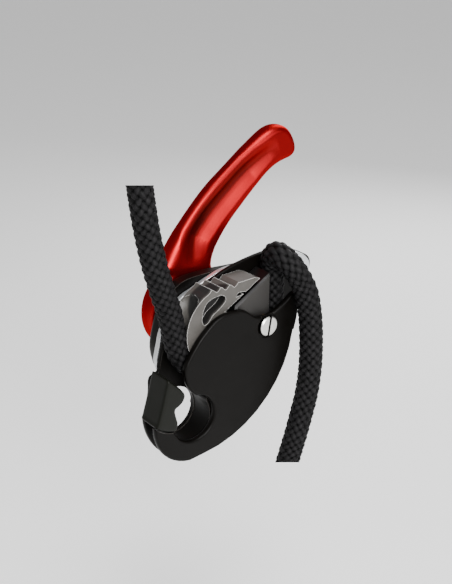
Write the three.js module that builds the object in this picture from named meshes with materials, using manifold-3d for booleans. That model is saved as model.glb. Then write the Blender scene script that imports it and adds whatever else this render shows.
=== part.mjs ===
// Rope descender: a self-braking lowering device on an 11 mm rope, with a lever at the back.
// Frame: X to the right seen from the front, Y from the front plate to the lever, Z up, in millimetres.
// The origin is the centre of the attachment eye, half way between the two side plates.

import * as THREE from 'three';
import { mergeVertices } from 'three/addons/utils/BufferGeometryUtils.js';
import Module from 'manifold-3d';

const wasm = await Module();
wasm.setup();

// Driving dimensions: rope, clearances and sheet thicknesses
const ROPE_DIAMETER = 11;
const ROPE_SIDE_ROOM = 0.7;
const CLEARANCE = 0.3;
const LAYER_GAP = 0.2;
const CUT_OVERRUN = 2;
const FRONT_PLATE_THICKNESS = 3.5;
const INNER_PLATE_THICKNESS = 2.5;
const STEEL_PLATE_THICKNESS = 3;
const HOUSING_DEPTH = 8.3;
const HANDLE_THICKNESS = 11;

// Driving dimensions: the plates in their own plane
const BODY_SPAN = 100;
const EYE_RADIUS = 11.4;
const EYE_WALL = 10;
const REAR_EYE_RADIUS = 11.8;
const EYE_COLLAR_RADIUS = 19;
const BELLY_RADIUS = 57;
const PLATE_EDGE_ROUND = 1.1;
const REAR_EDGE_ROUND = 0.5;
const HOUSING_EDGE_ROUND = 4;

// Driving dimensions: cam and rope path
const CAM_RADIUS = 20;
const CAM_GROOVE_DEPTH = 3.8;
const CAM_BOSS_RADIUS = 7.5;
const CAM_SWING = THREE.MathUtils.degToRad(12);
const TOOTH_PITCH = 5;
const TOOTH_DEPTH = 1.9;
const POCKET_DEPTH = 5;
const NOSE_GAP = 2.4;
const BLOCK_END_RADIUS = 4.5;
const BLOCK_CHAMFER = 1;
const BLOCK_BLUNT_LENGTH = 4;
const AXLE_RADIUS = 4;
const AXLE_HEAD_RADIUS = 6;
const AXLE_HEAD_HEIGHT = 1.2;
const BUSH_WALL = 1.2;
const PLATE_BUSH_WALL = 0.8;
const DRIVE_PIN_RADIUS = 1.9;
const DRIVE_PIN_ORBIT_RADIUS = 10.3;

// Driving dimensions: pivot screw, gate and small fasteners
const SLEEVE_RADIUS = 3.6;
const SCREW_SHANK_RADIUS = 2.2;
const SCREW_HEAD_RADIUS = 5;
const SCREW_HEAD_HEIGHT = 2;
const SCREW_SLOT_WIDTH = 1.3;
const SCREW_SLOT_DEPTH = 1;
const COUNTERBORE_DEPTH = 0.9;
const NUT_RADIUS = 5;
const GATE_SPAN = 27;
const GATE_SWEEP_RADIUS = 16.6;
const GATE_END_GAP = 1;
const GATE_PIN_RADIUS = 1.5;
const GATE_EDGE_ROUND = 1;
const GATE_BACK_ROOM = 2;
const SPACER_WIDTH = 4.4;
const RIVET_RADIUS = 1.5;
const DOWEL_RADIUS = 1.8;
const HOUSING_SCREW_RADIUS = 2.6;
const HOUSING_SCREW_HEIGHT = 2;

// Driving dimensions: handle, its fixings and the springs
const HUB_RADIUS = 21.5;
const HANDLE_REACH = 100;
const HANDLE_EDGE_ROUND = 3;
const CHANNEL_WIDTH = 13;
const CHANNEL_DEPTH = 3.2;
const WASHER_RADIUS = 8;
const WASHER_THICKNESS = 1.2;
const CAP_SCREW_RADIUS = 5;
const CAP_SCREW_HEIGHT = 3;
const CAVITY_RADIUS = 13.5;
const CAVITY_FLOOR = 1.6;
const RETURN_SPRING_RADIUS = 6.4;
const RETURN_WIRE_RADIUS = 0.5;
const RETURN_SPRING_TURNS = 2.5;
const GATE_SPRING_RADIUS = 2.7;
const GATE_WIRE_RADIUS = 0.35;
const GATE_SPRING_TURNS = 3;

// Smoothness, in counts of facets
const ARC_STEP = THREE.MathUtils.degToRad(9);
const SPLINE_STEPS = 3;
const PIN_FACETS = 24;
const ROUND_FACETS = 48;
const ROPE_FACETS = 10;
const WIRE_FACETS = 6;
const COIL_FACETS = 12;

// Layers along Y, from the front to the back
const ropeRadius = ROPE_DIAMETER / 2;
const roomHalf = ropeRadius + ROPE_SIDE_ROOM;
const plateBack = -roomHalf;
const plateFront = plateBack - FRONT_PLATE_THICKNESS;
const coreFront = plateBack + CLEARANCE;
const coreBack = roomHalf - CLEARANCE;
const innerFront = roomHalf;
const innerBack = innerFront + INNER_PLATE_THICKNESS;
const steelFront = innerBack + LAYER_GAP;
const steelBack = steelFront + STEEL_PLATE_THICKNESS;
const housingFront = steelBack + LAYER_GAP;
const housingBack = housingFront + HOUSING_DEPTH;
const handleFront = housingBack + CLEARANCE;
const handleBack = handleFront + HANDLE_THICKNESS;

// Places in the plane of the plates
const camCentreShares = [0.19, 0.39];
const screwShares = [0.427, 0.347];
const gatePinShares = [-0.089, 0.143];
const cam = scaled(camCentreShares, BODY_SPAN);
const screw = scaled(screwShares, BODY_SPAN);
const gatePin = scaled(gatePinShares, BODY_SPAN);

function scaled(shares, size) {
  return new THREE.Vector2(shares[0] * size, shares[1] * size);
}

function scaledAll(table, size, centre = new THREE.Vector2()) {
  return table.map((shares) => scaled(shares, size).add(centre));
}

function polar(centre, radius, angle) {
  return new THREE.Vector2(Math.cos(angle), Math.sin(angle)).multiplyScalar(radius).add(centre);
}

function bearing(from, to) {
  return Math.atan2(to.y - from.y, to.x - from.x);
}

function degrees(angle) {
  return THREE.MathUtils.degToRad(angle);
}

// Closed solids and the cuts between them

function solid(geometry) {
  geometry.deleteAttribute('normal');
  geometry.deleteAttribute('uv');
  const merged = mergeVertices(geometry);
  const vertProperties = Float32Array.from(merged.attributes.position.array);
  const corners = merged.index.array;
  const kept = [];
  for (let i = 0; i < corners.length; i += 3) {
    const [a, b, c] = corners.slice(i, i + 3);
    if (a !== b && b !== c && c !== a) kept.push(a, b, c);
  }
  const triVerts = Uint32Array.from(kept);
  return new wasm.Manifold(new wasm.Mesh({ numProp: 3, vertProperties, triVerts }));
}

function geometryOf(body) {
  const mesh = body.getMesh();
  const geometry = new THREE.BufferGeometry();
  geometry.setAttribute('position', new THREE.BufferAttribute(mesh.vertProperties, 3));
  geometry.setIndex(new THREE.BufferAttribute(mesh.triVerts, 1));
  const faceted = geometry.toNonIndexed();
  faceted.computeVertexNormals();
  return faceted;
}

// Stretches of an outline in X and Z, joined into one closed line.
function arc(centre, radius, from, to) {
  const count = Math.ceil(Math.abs(to - from) / ARC_STEP);
  return Array.from({ length: count + 1 }, (_, i) => polar(centre, radius, from + ((to - from) * i) / count));
}

function spline(points, steps = SPLINE_STEPS) {
  return new THREE.SplineCurve(points).getPoints(steps * (points.length - 1));
}

function outline(...stretches) {
  const points = stretches.flat();
  return new THREE.Shape(points.filter((point, i) => point.distanceTo(points.at(i - 1)) > LAYER_GAP / 2));
}

// A flat outline made solid from front to back, with rounded edges of the given size.
function slab(shape, front, back, round = 0, roundSteps = 2) {
  const geometry = new THREE.ExtrudeGeometry(shape, {
    depth: back - front - 2 * round,
    bevelEnabled: round > 0,
    bevelThickness: round,
    bevelSize: round,
    bevelOffset: -round,
    bevelSegments: roundSteps,
  });
  geometry.rotateX(Math.PI / 2);
  geometry.translate(0, back - round, 0);
  return solid(geometry);
}

function rod(centre, radius, front, back, facets = PIN_FACETS) {
  const geometry = new THREE.CylinderGeometry(radius, radius, back - front, facets);
  geometry.translate(centre.x, (front + back) / 2, centre.y);
  return solid(geometry);
}

// A turned piece on an axis along Y: the profile is a list of [radius, y].
function turned(centre, profile, facets = PIN_FACETS) {
  const points = profile.map(([radius, y]) => new THREE.Vector2(radius, y));
  const geometry = new THREE.LatheGeometry(points, facets);
  geometry.translate(centre.x, 0, centre.y);
  return solid(geometry);
}

function ring(centre, inner, outer, front, back, facets = PIN_FACETS) {
  const profile = [[inner, front], [outer, front], [outer, back], [inner, back], [inner, front]];
  return turned(centre, profile, facets);
}

function box(low, high) {
  const size = high.clone().sub(low);
  const geometry = new THREE.BoxGeometry(size.x, size.y, size.z);
  geometry.translate(low.x + size.x / 2, low.y + size.y / 2, low.z + size.z / 2);
  return solid(geometry);
}

function sectionCircle(radius, facets) {
  const shape = new THREE.Shape();
  for (let i = 0; i < facets; i += 1) {
    const point = polar(new THREE.Vector2(), radius, (i / facets) * 2 * Math.PI);
    if (i === 0) shape.moveTo(point.x, point.y);
    else shape.lineTo(point.x, point.y);
  }
  shape.closePath();
  return shape;
}

function tube(path, radius, steps, facets) {
  return solid(new THREE.ExtrudeGeometry(sectionCircle(radius, facets), { steps, extrudePath: path }));
}

// An arc about an axis along Y.
class FlatArc extends THREE.Curve {
  constructor(centre, radius, from, to) {
    super();
    Object.assign(this, { centre, radius, from, to });
  }

  getPoint(t, target = new THREE.Vector3()) {
    const place = polar(this.centre, this.radius, this.from + (this.to - this.from) * t);
    return target.set(place.x, 0, place.y);
  }
}

// A helix about an axis along Y.
class Helix extends THREE.Curve {
  constructor(centre, radius, front, back, turns) {
    super();
    Object.assign(this, { centre, radius, front, back, turns });
  }

  getPoint(t, target = new THREE.Vector3()) {
    const place = polar(this.centre, this.radius, t * this.turns * 2 * Math.PI);
    return target.set(place.x, this.front + (this.back - this.front) * t, place.y);
  }
}

// A round slot along an arc, cut through from front to back.
function arcSlot(centre, orbit, halfWidth, from, to, front, back) {
  const start = polar(centre, orbit, from);
  const end = polar(centre, orbit, to);
  const shape = outline(
    arc(centre, orbit + halfWidth, from, to),
    arc(end, halfWidth, to, to + Math.PI),
    arc(centre, orbit - halfWidth, to, from),
    arc(start, halfWidth, from + Math.PI, from + 2 * Math.PI),
  );
  return slab(shape, front, back);
}

// The whole part

const descender = new THREE.Group();

function add(name, body, colour, roughness, metalness) {
  const material = new THREE.MeshStandardMaterial({ color: colour, roughness, metalness });
  const mesh = new THREE.Mesh(geometryOf(body), material);
  mesh.name = name;
  descender.add(mesh);
}

const BLACK_ANODISED = [0x17181a, 0.45, 0.6];
const BARE_STEEL = [0xc9cacc, 0.3, 1];
const CAST_STEEL = [0x8a8988, 0.5, 1];
const RED_ANODISED = [0xc4202b, 0.35, 0.8];
const BLACK_NYLON = [0x20231f, 0.6, 0];
const SPRING_STEEL = [0x9a9ca0, 0.35, 1];
const BRONZE = [0xa98450, 0.45, 1];
const DARK_STEEL = [0x4a4b4d, 0.45, 0.9];
const ROPE_BLACK = [0x1c1c1d, 0.9, 0];

// Rope path: down the left of the cam, under it, round the block's end and up beside the block.
const ropeOrbit = CAM_RADIUS - CAM_GROOVE_DEPTH + CLEARANCE + ropeRadius;
const ropeTurn = BLOCK_END_RADIUS + CLEARANCE + ropeRadius;
const STRAND_LEAN = degrees(12.3);
const wrapStart = Math.PI + STRAND_LEAN;
const underAngle = bearing(cam, screw) + Math.asin((ropeOrbit - ropeTurn) / cam.distanceTo(screw));
const wrapEnd = underAngle - Math.PI / 2;
const HELD_STRAND_LENGTH = 12;
const HELD_EXIT_LENGTH = 21;

const entry = polar(cam, ropeOrbit, wrapStart)
  .add(polar(new THREE.Vector2(), HELD_STRAND_LENGTH, wrapStart - Math.PI / 2));
const exit = polar(screw, ropeTurn, 0).add(new THREE.Vector2(0, HELD_EXIT_LENGTH));

// Rear stack: the inner plate carries the eye, the steel plate and the housing end above it.
const rearLowerShares = [
  [0.2, -0.215], [0.3, -0.15], [0.4, -0.065], [0.49, 0.03], [0.575, 0.135], [0.65, 0.235],
];
const innerUpperShares = [
  [0.71, 0.315], [0.75, 0.39], [0.762, 0.46], [0.747, 0.535], [0.705, 0.59], [0.645, 0.626], [0.56, 0.64],
  [0.477, 0.636], [0.40, 0.626], [0.323, 0.611], [0.249, 0.588], [0.172, 0.559],
  [0.08, 0.512], [0.005, 0.448], [-0.04, 0.38], [-0.057, 0.325], [-0.076, 0.25],
];
const innerEyeShares = [
  [-0.083, 0.222], [-0.083, 0.204], [-0.1, 0.193], [-0.122, 0.187], [-0.133, 0.165], [-0.135, 0.12],
  [-0.142, 0.08], [-0.158, 0.03], [-0.17, -0.02], [-0.162, -0.075], [-0.145, -0.125], [-0.12, -0.172],
  [-0.09, -0.212], [-0.055, -0.243], [-0.01, -0.262], [0.05, -0.268], [0.12, -0.253],
];
const steelUpperShares = [
  [0.72, 0.31], [0.78, 0.37], [0.825, 0.417], [0.85, 0.465], [0.85, 0.51], [0.815, 0.552], [0.75, 0.585],
  [0.66, 0.6], [0.54, 0.598], [0.435, 0.597], [0.349, 0.6], [0.29, 0.594], [0.254, 0.584], [0.203, 0.569],
  [0.139, 0.544], [0.075, 0.521], [0.0, 0.462], [-0.045, 0.38], [-0.06, 0.325], [-0.078, 0.25], [-0.074, 0.219],
];
const eyeCentre = new THREE.Vector2();
const rearEyeCentre = scaled([-0.008, -0.02], BODY_SPAN);

function innerOutline() {
  const upper = [...rearLowerShares, ...innerUpperShares];
  return outline(spline(scaledAll(upper, BODY_SPAN)), spline(scaledAll(innerEyeShares, BODY_SPAN)));
}

// An outline that stops at a collar about the eye.
function collared(shares) {
  const points = scaledAll(shares, BODY_SPAN);
  const from = bearing(eyeCentre, points.at(-1));
  const to = bearing(eyeCentre, points[0]);
  return outline(spline(points), arc(eyeCentre, EYE_COLLAR_RADIUS, from, to));
}

const rivetAngles = [degrees(-82), degrees(-8)];
const spacerOrbit = REAR_EYE_RADIUS + SPACER_WIDTH / 2 + CLEARANCE;
const rivetPlaces = rivetAngles.map((angle) => polar(rearEyeCentre, spacerOrbit, angle));
const dowelShares = [0.7, 0.04];
const dowelPlace = cam.clone().add(scaled(dowelShares, CAM_RADIUS));
const PIN_ANGLE = degrees(100);

// What passes through a rear plate: the eye, the axle, the pivot, the pins and the drive pin's slot.
function rearCuts(front, back) {
  const through = [front - CUT_OVERRUN, back + CUT_OVERRUN];
  const slotFrom = PIN_ANGLE - CLEARANCE / DRIVE_PIN_ORBIT_RADIUS;
  const slotTo = PIN_ANGLE + CAM_SWING + CLEARANCE / DRIVE_PIN_ORBIT_RADIUS;
  const slotHalf = DRIVE_PIN_RADIUS + CLEARANCE;
  let cut = rod(rearEyeCentre, REAR_EYE_RADIUS, ...through, ROUND_FACETS);
  cut = cut.add(rod(cam, AXLE_RADIUS + CLEARANCE, ...through, ROUND_FACETS));
  cut = cut.add(rod(screw, SLEEVE_RADIUS + CLEARANCE, ...through));
  cut = cut.add(arcSlot(cam, DRIVE_PIN_ORBIT_RADIUS, slotHalf, slotFrom, slotTo, ...through));
  rivetPlaces.forEach((place) => {
    cut = cut.add(rod(place, RIVET_RADIUS + LAYER_GAP, ...through));
  });
  return cut;
}

let innerPlate = slab(innerOutline(), innerFront, innerBack, REAR_EDGE_ROUND, 1);
innerPlate = innerPlate.subtract(rearCuts(innerFront, innerBack));
innerPlate = innerPlate.subtract(
  rod(gatePin, GATE_PIN_RADIUS + LAYER_GAP, innerFront - CUT_OVERRUN, innerBack + CUT_OVERRUN),
);
innerPlate = innerPlate.subtract(
  rod(dowelPlace, DOWEL_RADIUS + LAYER_GAP, innerFront - CUT_OVERRUN, innerBack + CUT_OVERRUN),
);
add('inner_plate', innerPlate, ...BLACK_ANODISED);

const steelShares = [...rearLowerShares, ...steelUpperShares];
const steelPlate = slab(collared(steelShares), steelFront, steelBack, REAR_EDGE_ROUND, 1);
add('steel_plate', steelPlate.subtract(rearCuts(steelFront, steelBack)), ...BARE_STEEL);

// Housing: a domed cover over the plates above the eye, hollow round the axle for the return spring.
const housingShares = [
  [0.24, -0.13], [0.34, -0.09], [0.44, -0.01], [0.53, 0.09], [0.61, 0.195], [0.69, 0.29], [0.765, 0.36],
  [0.828, 0.405], [0.866, 0.438], [0.882, 0.475], [0.875, 0.512], [0.845, 0.542], [0.77, 0.578], [0.69, 0.586],
  [0.59, 0.58], [0.49, 0.573], [0.39, 0.578], [0.29, 0.586], [0.2, 0.588], [0.12, 0.584], [0.06, 0.56],
  [0.01, 0.5], [-0.02, 0.43], [-0.044, 0.35], [-0.056, 0.29], [-0.053, 0.244], [-0.044, 0.207],
];
const housingScrewShares = [[0.74, 0.47], [0.5, 0.17], [0.03, 0.27]];
const housingScrews = scaledAll(housingScrewShares, BODY_SPAN);
const cavityFront = housingFront + CAVITY_FLOOR;
const domeFront = housingFront - HOUSING_EDGE_ROUND;

let housing = slab(collared(housingShares), domeFront, housingBack, HOUSING_EDGE_ROUND, 4);
const farLow = new THREE.Vector3(-BODY_SPAN, domeFront - CUT_OVERRUN, -BODY_SPAN);
const farHigh = new THREE.Vector3(BODY_SPAN, housingFront, BODY_SPAN);
housing = housing.subtract(box(farLow, farHigh));
housing = housing.subtract(rod(cam, CAVITY_RADIUS, cavityFront, housingBack + CUT_OVERRUN, ROUND_FACETS));
housing = housing.subtract(rearCuts(housingFront, housingBack));
housing = housing.subtract(
  rod(screw, NUT_RADIUS + CLEARANCE, housingFront + CAVITY_FLOOR, housingBack + CUT_OVERRUN),
);
housingScrews.forEach((place) => {
  const seat = housingBack - HOUSING_SCREW_HEIGHT;
  housing = housing.subtract(rod(place, HOUSING_SCREW_RADIUS + CLEARANCE, seat, housingBack + CUT_OVERRUN));
});
add('rear_housing', housing, ...BLACK_ANODISED);

housingScrews.forEach((place, index) => {
  const back = housingBack - CLEARANCE;
  const front = housingBack - HOUSING_SCREW_HEIGHT + LAYER_GAP;
  let head = rod(place, HOUSING_SCREW_RADIUS, front, back);
  const socket = new THREE.CylinderGeometry(
    HOUSING_SCREW_RADIUS / 2, HOUSING_SCREW_RADIUS / 2, HOUSING_SCREW_HEIGHT, 6);
  socket.translate(place.x, back, place.y);
  head = head.subtract(solid(socket));
  add(`housing_screw_${index + 1}`, head, ...DARK_STEEL);
});

// Cam: toothed along its top, grooved for the rope round its left and underside, with a pointed nose.
const firstToothShare = -0.3;
const padEndShare = 0.93;
const noseShares = [1.08, 0.94];
const noseTip = scaled(noseShares, CAM_RADIUS).add(cam);
const NOSE_SLOPE = degrees(29);
const FLANK_ANGLE = degrees(-62);
const TOOTH_COUNT = 4;
const toothShares = [[0.14, 0.12], [0, 0], [-0.3, 0.8], [-0.46, 1]];
const TOOTH_END = degrees(122);

function noseLineStart(offset, radius) {
  // Where the line under the nose, moved down by the offset, meets a circle about the cam's axis.
  const along = new THREE.Vector2(Math.cos(NOSE_SLOPE), Math.sin(NOSE_SLOPE));
  const down = new THREE.Vector2(Math.sin(NOSE_SLOPE), -Math.cos(NOSE_SLOPE));
  const tip = noseTip.clone().sub(cam).addScaledVector(down, offset);
  const foot = tip.clone().addScaledVector(along, -tip.dot(along));
  const half = Math.sqrt(radius ** 2 - foot.lengthSq());
  return foot.addScaledVector(along, half).add(cam);
}

function camOutline() {
  const top = cam.y + CAM_RADIUS;
  const padEnd = cam.x + padEndShare * CAM_RADIUS;
  const start = noseLineStart(0, CAM_BOSS_RADIUS);
  const startAngle = bearing(cam, start);
  const firstTooth = cam.x + firstToothShare * CAM_RADIUS;
  const teeth = [];
  for (let i = TOOTH_COUNT - 1; i >= 0; i -= 1) {
    const crest = firstTooth + i * TOOTH_PITCH;
    toothShares.forEach(([along, down]) => {
      teeth.push(new THREE.Vector2(crest + along * TOOTH_PITCH, top - down * TOOTH_DEPTH));
    });
  }
  return outline(
    [start, noseTip, new THREE.Vector2(padEnd, top)],
    teeth,
    arc(cam, CAM_RADIUS, TOOTH_END, 2 * Math.PI + FLANK_ANGLE),
    arc(cam, CAM_BOSS_RADIUS, FLANK_ANGLE, startAngle),
  );
}

const kidneyShares = [
  [-0.55, 0.525], [-0.51, 0.615], [-0.395, 0.75], [-0.2, 0.8], [-0.03, 0.81], [0.08, 0.73], [0.07, 0.62],
  [-0.08, 0.495], [-0.28, 0.38], [-0.4, 0.24], [-0.515, 0.2], [-0.575, 0.325],
];
const nosePocketShares = [[0.38, 0.65], [0.44, 0.735], [0.565, 0.74], [0.685, 0.69]];
const grooveRadius = ropeRadius + CLEARANCE + LAYER_GAP / 2;
const GROOVE_FROM = degrees(138);
const GROOVE_TO = degrees(312);
const GROOVE_STEPS = 24;
const GROOVE_FACETS = 20;

let camBody = slab(camOutline(), coreFront, coreBack);
const groove = new FlatArc(cam, ropeOrbit, GROOVE_FROM, GROOVE_TO);
camBody = camBody.subtract(tube(groove, grooveRadius, GROOVE_STEPS, GROOVE_FACETS));
const grooveEnd = new THREE.SphereGeometry(grooveRadius, GROOVE_FACETS, GROOVE_FACETS / 2);
const grooveEndPlace = polar(cam, ropeOrbit, GROOVE_FROM);
grooveEnd.translate(grooveEndPlace.x, 0, grooveEndPlace.y);
camBody = camBody.subtract(solid(grooveEnd));
[kidneyShares, nosePocketShares].forEach((table) => {
  const edge = scaledAll(table, CAM_RADIUS, cam);
  const pocket = outline(spline([...edge, edge[0]]));
  camBody = camBody.subtract(slab(pocket, coreFront - CUT_OVERRUN, coreFront + POCKET_DEPTH));
});
const bushOuter = AXLE_RADIUS + BUSH_WALL;
const headSeat = coreFront + AXLE_HEAD_HEIGHT + 2 * LAYER_GAP;
camBody = camBody.subtract(
  rod(cam, bushOuter + LAYER_GAP, coreFront - CUT_OVERRUN, coreBack + CUT_OVERRUN, ROUND_FACETS));
camBody = camBody.subtract(
  rod(cam, AXLE_HEAD_RADIUS + CLEARANCE, coreFront - CUT_OVERRUN, headSeat, ROUND_FACETS));
const pinPlace = polar(cam, DRIVE_PIN_ORBIT_RADIUS, PIN_ANGLE);
const pinSeat = coreFront + POCKET_DEPTH + 2 * NOSE_GAP;
camBody = camBody.subtract(rod(pinPlace, DRIVE_PIN_RADIUS + LAYER_GAP, pinSeat, coreBack + CUT_OVERRUN));
add('cam', camBody, ...CAST_STEEL);

add('cam_bush', ring(cam, AXLE_RADIUS + LAYER_GAP, bushOuter, headSeat + LAYER_GAP, coreBack, ROUND_FACETS),
  ...BRONZE);

const hubSlotDepth = HANDLE_THICKNESS / 3;
const pinBack = handleFront + hubSlotDepth - CLEARANCE;
add('drive_pin', rod(pinPlace, DRIVE_PIN_RADIUS, pinSeat + LAYER_GAP, pinBack), ...SPRING_STEEL);

// Cam axle: headed at the front, with a bore at the back for the screw that keeps the handle on.
const screwBore = SCREW_SHANK_RADIUS + LAYER_GAP;
const axleFront = coreFront + LAYER_GAP;
const axleBack = handleBack + LAYER_GAP;
add('cam_axle', turned(cam, [
  [0, axleFront], [AXLE_HEAD_RADIUS, axleFront], [AXLE_HEAD_RADIUS, axleFront + AXLE_HEAD_HEIGHT],
  [AXLE_RADIUS, axleFront + AXLE_HEAD_HEIGHT], [AXLE_RADIUS, axleBack], [screwBore, axleBack],
  [screwBore, handleFront], [0, handleFront],
], ROUND_FACETS), ...DARK_STEEL);

// Friction block: a wedge under the cam's nose, its round end carried on the pivot sleeve.
const blockSweep = FLANK_ANGLE + CAM_SWING + degrees(3);

function blockOutline() {
  const bossRadius = CAM_BOSS_RADIUS + CLEARANCE;
  const start = noseLineStart(NOSE_GAP, bossRadius);
  const bluntTop = polar(start, BLOCK_BLUNT_LENGTH, NOSE_SLOPE);
  const startAngle = bearing(cam, start) - BLOCK_BLUNT_LENGTH / bossRadius;
  const rightX = screw.x + BLOCK_END_RADIUS;
  const reach = (ropeOrbit - ropeRadius - CLEARANCE) / Math.cos(wrapEnd - blockSweep);
  return outline(
    arc(cam, bossRadius, startAngle, blockSweep),
    [polar(cam, reach, blockSweep)],
    arc(screw, BLOCK_END_RADIUS, wrapEnd, 0),
    [new THREE.Vector2(rightX, start.y + (rightX - start.x) * Math.tan(NOSE_SLOPE)), bluntTop],
  );
}

let block = slab(blockOutline(), coreFront, coreBack, BLOCK_CHAMFER, 1);
block = block.subtract(rod(screw, SLEEVE_RADIUS + LAYER_GAP, coreFront - CUT_OVERRUN, coreBack + CUT_OVERRUN));
block = block.subtract(rod(dowelPlace, DOWEL_RADIUS + LAYER_GAP, 0, coreBack + CUT_OVERRUN));
add('friction_block', block, ...DARK_STEEL);
add('block_dowel', rod(dowelPlace, DOWEL_RADIUS, LAYER_GAP, innerBack), ...SPRING_STEEL);

// Eye spacer: a curved bar between the plates beside the eye, riveted to the inner plate.
const spacerFrom = degrees(-104);
const spacerTo = degrees(30);
const spacerBar = arcSlot(rearEyeCentre, spacerOrbit, SPACER_WIDTH / 2, spacerFrom, spacerTo, coreFront, coreBack);
let spacer = spacerBar;
spacer = spacer.subtract(
  rod(cam, ropeOrbit + ropeRadius + CLEARANCE, coreFront - CUT_OVERRUN, coreBack + CUT_OVERRUN, ROUND_FACETS),
);
rivetPlaces.forEach((place) => {
  spacer = spacer.subtract(rod(place, RIVET_RADIUS + LAYER_GAP, 0, coreBack + CUT_OVERRUN));
});
add('eye_spacer', spacer, ...BLACK_ANODISED);
rivetPlaces.forEach((place, index) => {
  add(`spacer_rivet_${index + 1}`, rod(place, RIVET_RADIUS, LAYER_GAP, innerBack), ...BARE_STEEL);
});

// Front plate: swings on the pivot sleeve; its hook closes the front of the eye.
const frontTopShares = [
  [0.594, 0.277], [0.612, 0.345], [0.62, 0.42], [0.618, 0.462], [0.6, 0.474], [0.572, 0.463], [0.529, 0.434],
  [0.469, 0.404], [0.426, 0.397], [0.39, 0.4], [0.36, 0.408], [0.328, 0.431], [0.3, 0.453], [0.27, 0.466],
];
const frontLeftShares = [
  [0.234, 0.469], [0.182, 0.467], [0.144, 0.458], [0.115, 0.445], [0.085, 0.425], [0.043, 0.389],
  [0.009, 0.35], [-0.019, 0.31], [-0.038, 0.281], [-0.047, 0.257], [-0.045, 0.225], [-0.037, 0.186],
  [-0.021, 0.15], [-0.003, 0.129],
];
const HOOK_FROM = degrees(82);
const HOOK_TIP = degrees(176);
const HOOK_TO = degrees(262);
const bellyReachShares = [0.595, -0.206];
const bellyCentre = scaled(bellyReachShares, BODY_SPAN).add(new THREE.Vector2(-BELLY_RADIUS, BELLY_RADIUS));
const bellyFootShare = 0.05;
const bellyFrom = -Math.acos((bellyFootShare * BODY_SPAN - bellyCentre.x) / BELLY_RADIUS);

function frontOutline() {
  const top = scaledAll(frontTopShares, BODY_SPAN);
  const bellyEnd = bearing(bellyCentre, top[0]);
  return outline(
    arc(eyeCentre, EYE_RADIUS, HOOK_FROM, HOOK_TIP - 2 * Math.PI),
    arc(eyeCentre, EYE_RADIUS + EYE_WALL, HOOK_TIP, HOOK_TO),
    arc(bellyCentre, BELLY_RADIUS, bellyFrom, bellyEnd),
    spline(top),
    spline(scaledAll(frontLeftShares, BODY_SPAN)),
  );
}

const counterboreFloor = plateFront + COUNTERBORE_DEPTH;
const plateBore = SLEEVE_RADIUS + PLATE_BUSH_WALL + 2 * LAYER_GAP;
let frontPlate = slab(frontOutline(), plateFront, plateBack, PLATE_EDGE_ROUND, 2);
frontPlate = frontPlate.subtract(
  rod(screw, plateBore, plateFront - CUT_OVERRUN, plateBack + CUT_OVERRUN, ROUND_FACETS),
);
frontPlate = frontPlate.subtract(
  rod(screw, SCREW_HEAD_RADIUS + BUSH_WALL, plateFront - CUT_OVERRUN, counterboreFloor, ROUND_FACETS),
);
frontPlate = frontPlate.subtract(
  rod(gatePin, GATE_SWEEP_RADIUS + GATE_END_GAP, plateFront - CUT_OVERRUN, plateBack + CUT_OVERRUN, ROUND_FACETS)
    .subtract(box(
      new THREE.Vector3(-EYE_RADIUS * Math.SQRT1_2, plateFront - 2 * CUT_OVERRUN, -BODY_SPAN),
      new THREE.Vector3(BODY_SPAN, plateBack + 2 * CUT_OVERRUN, BODY_SPAN),
    )),
);
add('front_plate', frontPlate, ...BLACK_ANODISED);

const bushInner = SLEEVE_RADIUS + LAYER_GAP;
add('plate_bush', ring(screw, bushInner, bushInner + PLATE_BUSH_WALL, counterboreFloor, plateBack, ROUND_FACETS),
  ...BRONZE);

// Pivot: a sleeve between the plates, the slotted screw through it and its round nut at the back.
add('pivot_sleeve', ring(screw, screwBore, SLEEVE_RADIUS, counterboreFloor, innerBack, ROUND_FACETS),
  ...SPRING_STEEL);

const headBack = counterboreFloor - LAYER_GAP;
const headFront = headBack - SCREW_HEAD_HEIGHT;
const shankBack = housingBack - CLEARANCE * 2;
let pivotScrew = turned(screw, [
  [0, headFront], [SCREW_HEAD_RADIUS * 0.86, headFront], [SCREW_HEAD_RADIUS, headFront + SCREW_HEAD_HEIGHT * 0.3],
  [SCREW_HEAD_RADIUS, headBack], [SCREW_SHANK_RADIUS, headBack], [SCREW_SHANK_RADIUS, shankBack], [0, shankBack],
], ROUND_FACETS);
const SLOT_TILT = degrees(-10);
const slotBlade = new THREE.BoxGeometry(SCREW_SLOT_WIDTH, 2 * SCREW_SLOT_DEPTH, 3 * SCREW_HEAD_RADIUS);
slotBlade.rotateY(-SLOT_TILT);
slotBlade.translate(screw.x, headFront, screw.y);
pivotScrew = pivotScrew.subtract(solid(slotBlade));
add('pivot_screw', pivotScrew, ...BARE_STEEL);

const nutFront = housingFront + CAVITY_FLOOR + LAYER_GAP;
add('pivot_nut', ring(screw, screwBore, NUT_RADIUS, nutFront, housingBack - CLEARANCE), ...DARK_STEEL);

// Gate: a moulded catch that closes the mouth of the hook and turns inwards on its pin.
const gateBack = coreBack - GATE_BACK_ROOM;
const GATE_END_FROM = degrees(226);
const GATE_END_TO = degrees(268);

const gateRightShares = [
  [0.0, -0.5], [-0.038, -0.36], [-0.055, -0.235], [0.02, -0.2], [0.1, -0.145], [0.15, -0.06],
  [0.146, 0.0], [0.104, 0.067], [0.045, 0.14], [-0.019, 0.207], [-0.115, 0.307],
];
const gateTopShares = [[-0.185, 0.362], [-0.296, -0.037], [-0.41, -0.4]];

function gateOutline() {
  return outline(
    arc(gatePin, GATE_SWEEP_RADIUS, GATE_END_FROM, GATE_END_TO),
    spline(scaledAll(gateRightShares, GATE_SPAN, gatePin)),
    spline(scaledAll(gateTopShares, GATE_SPAN, gatePin)),
  );
}

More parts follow.
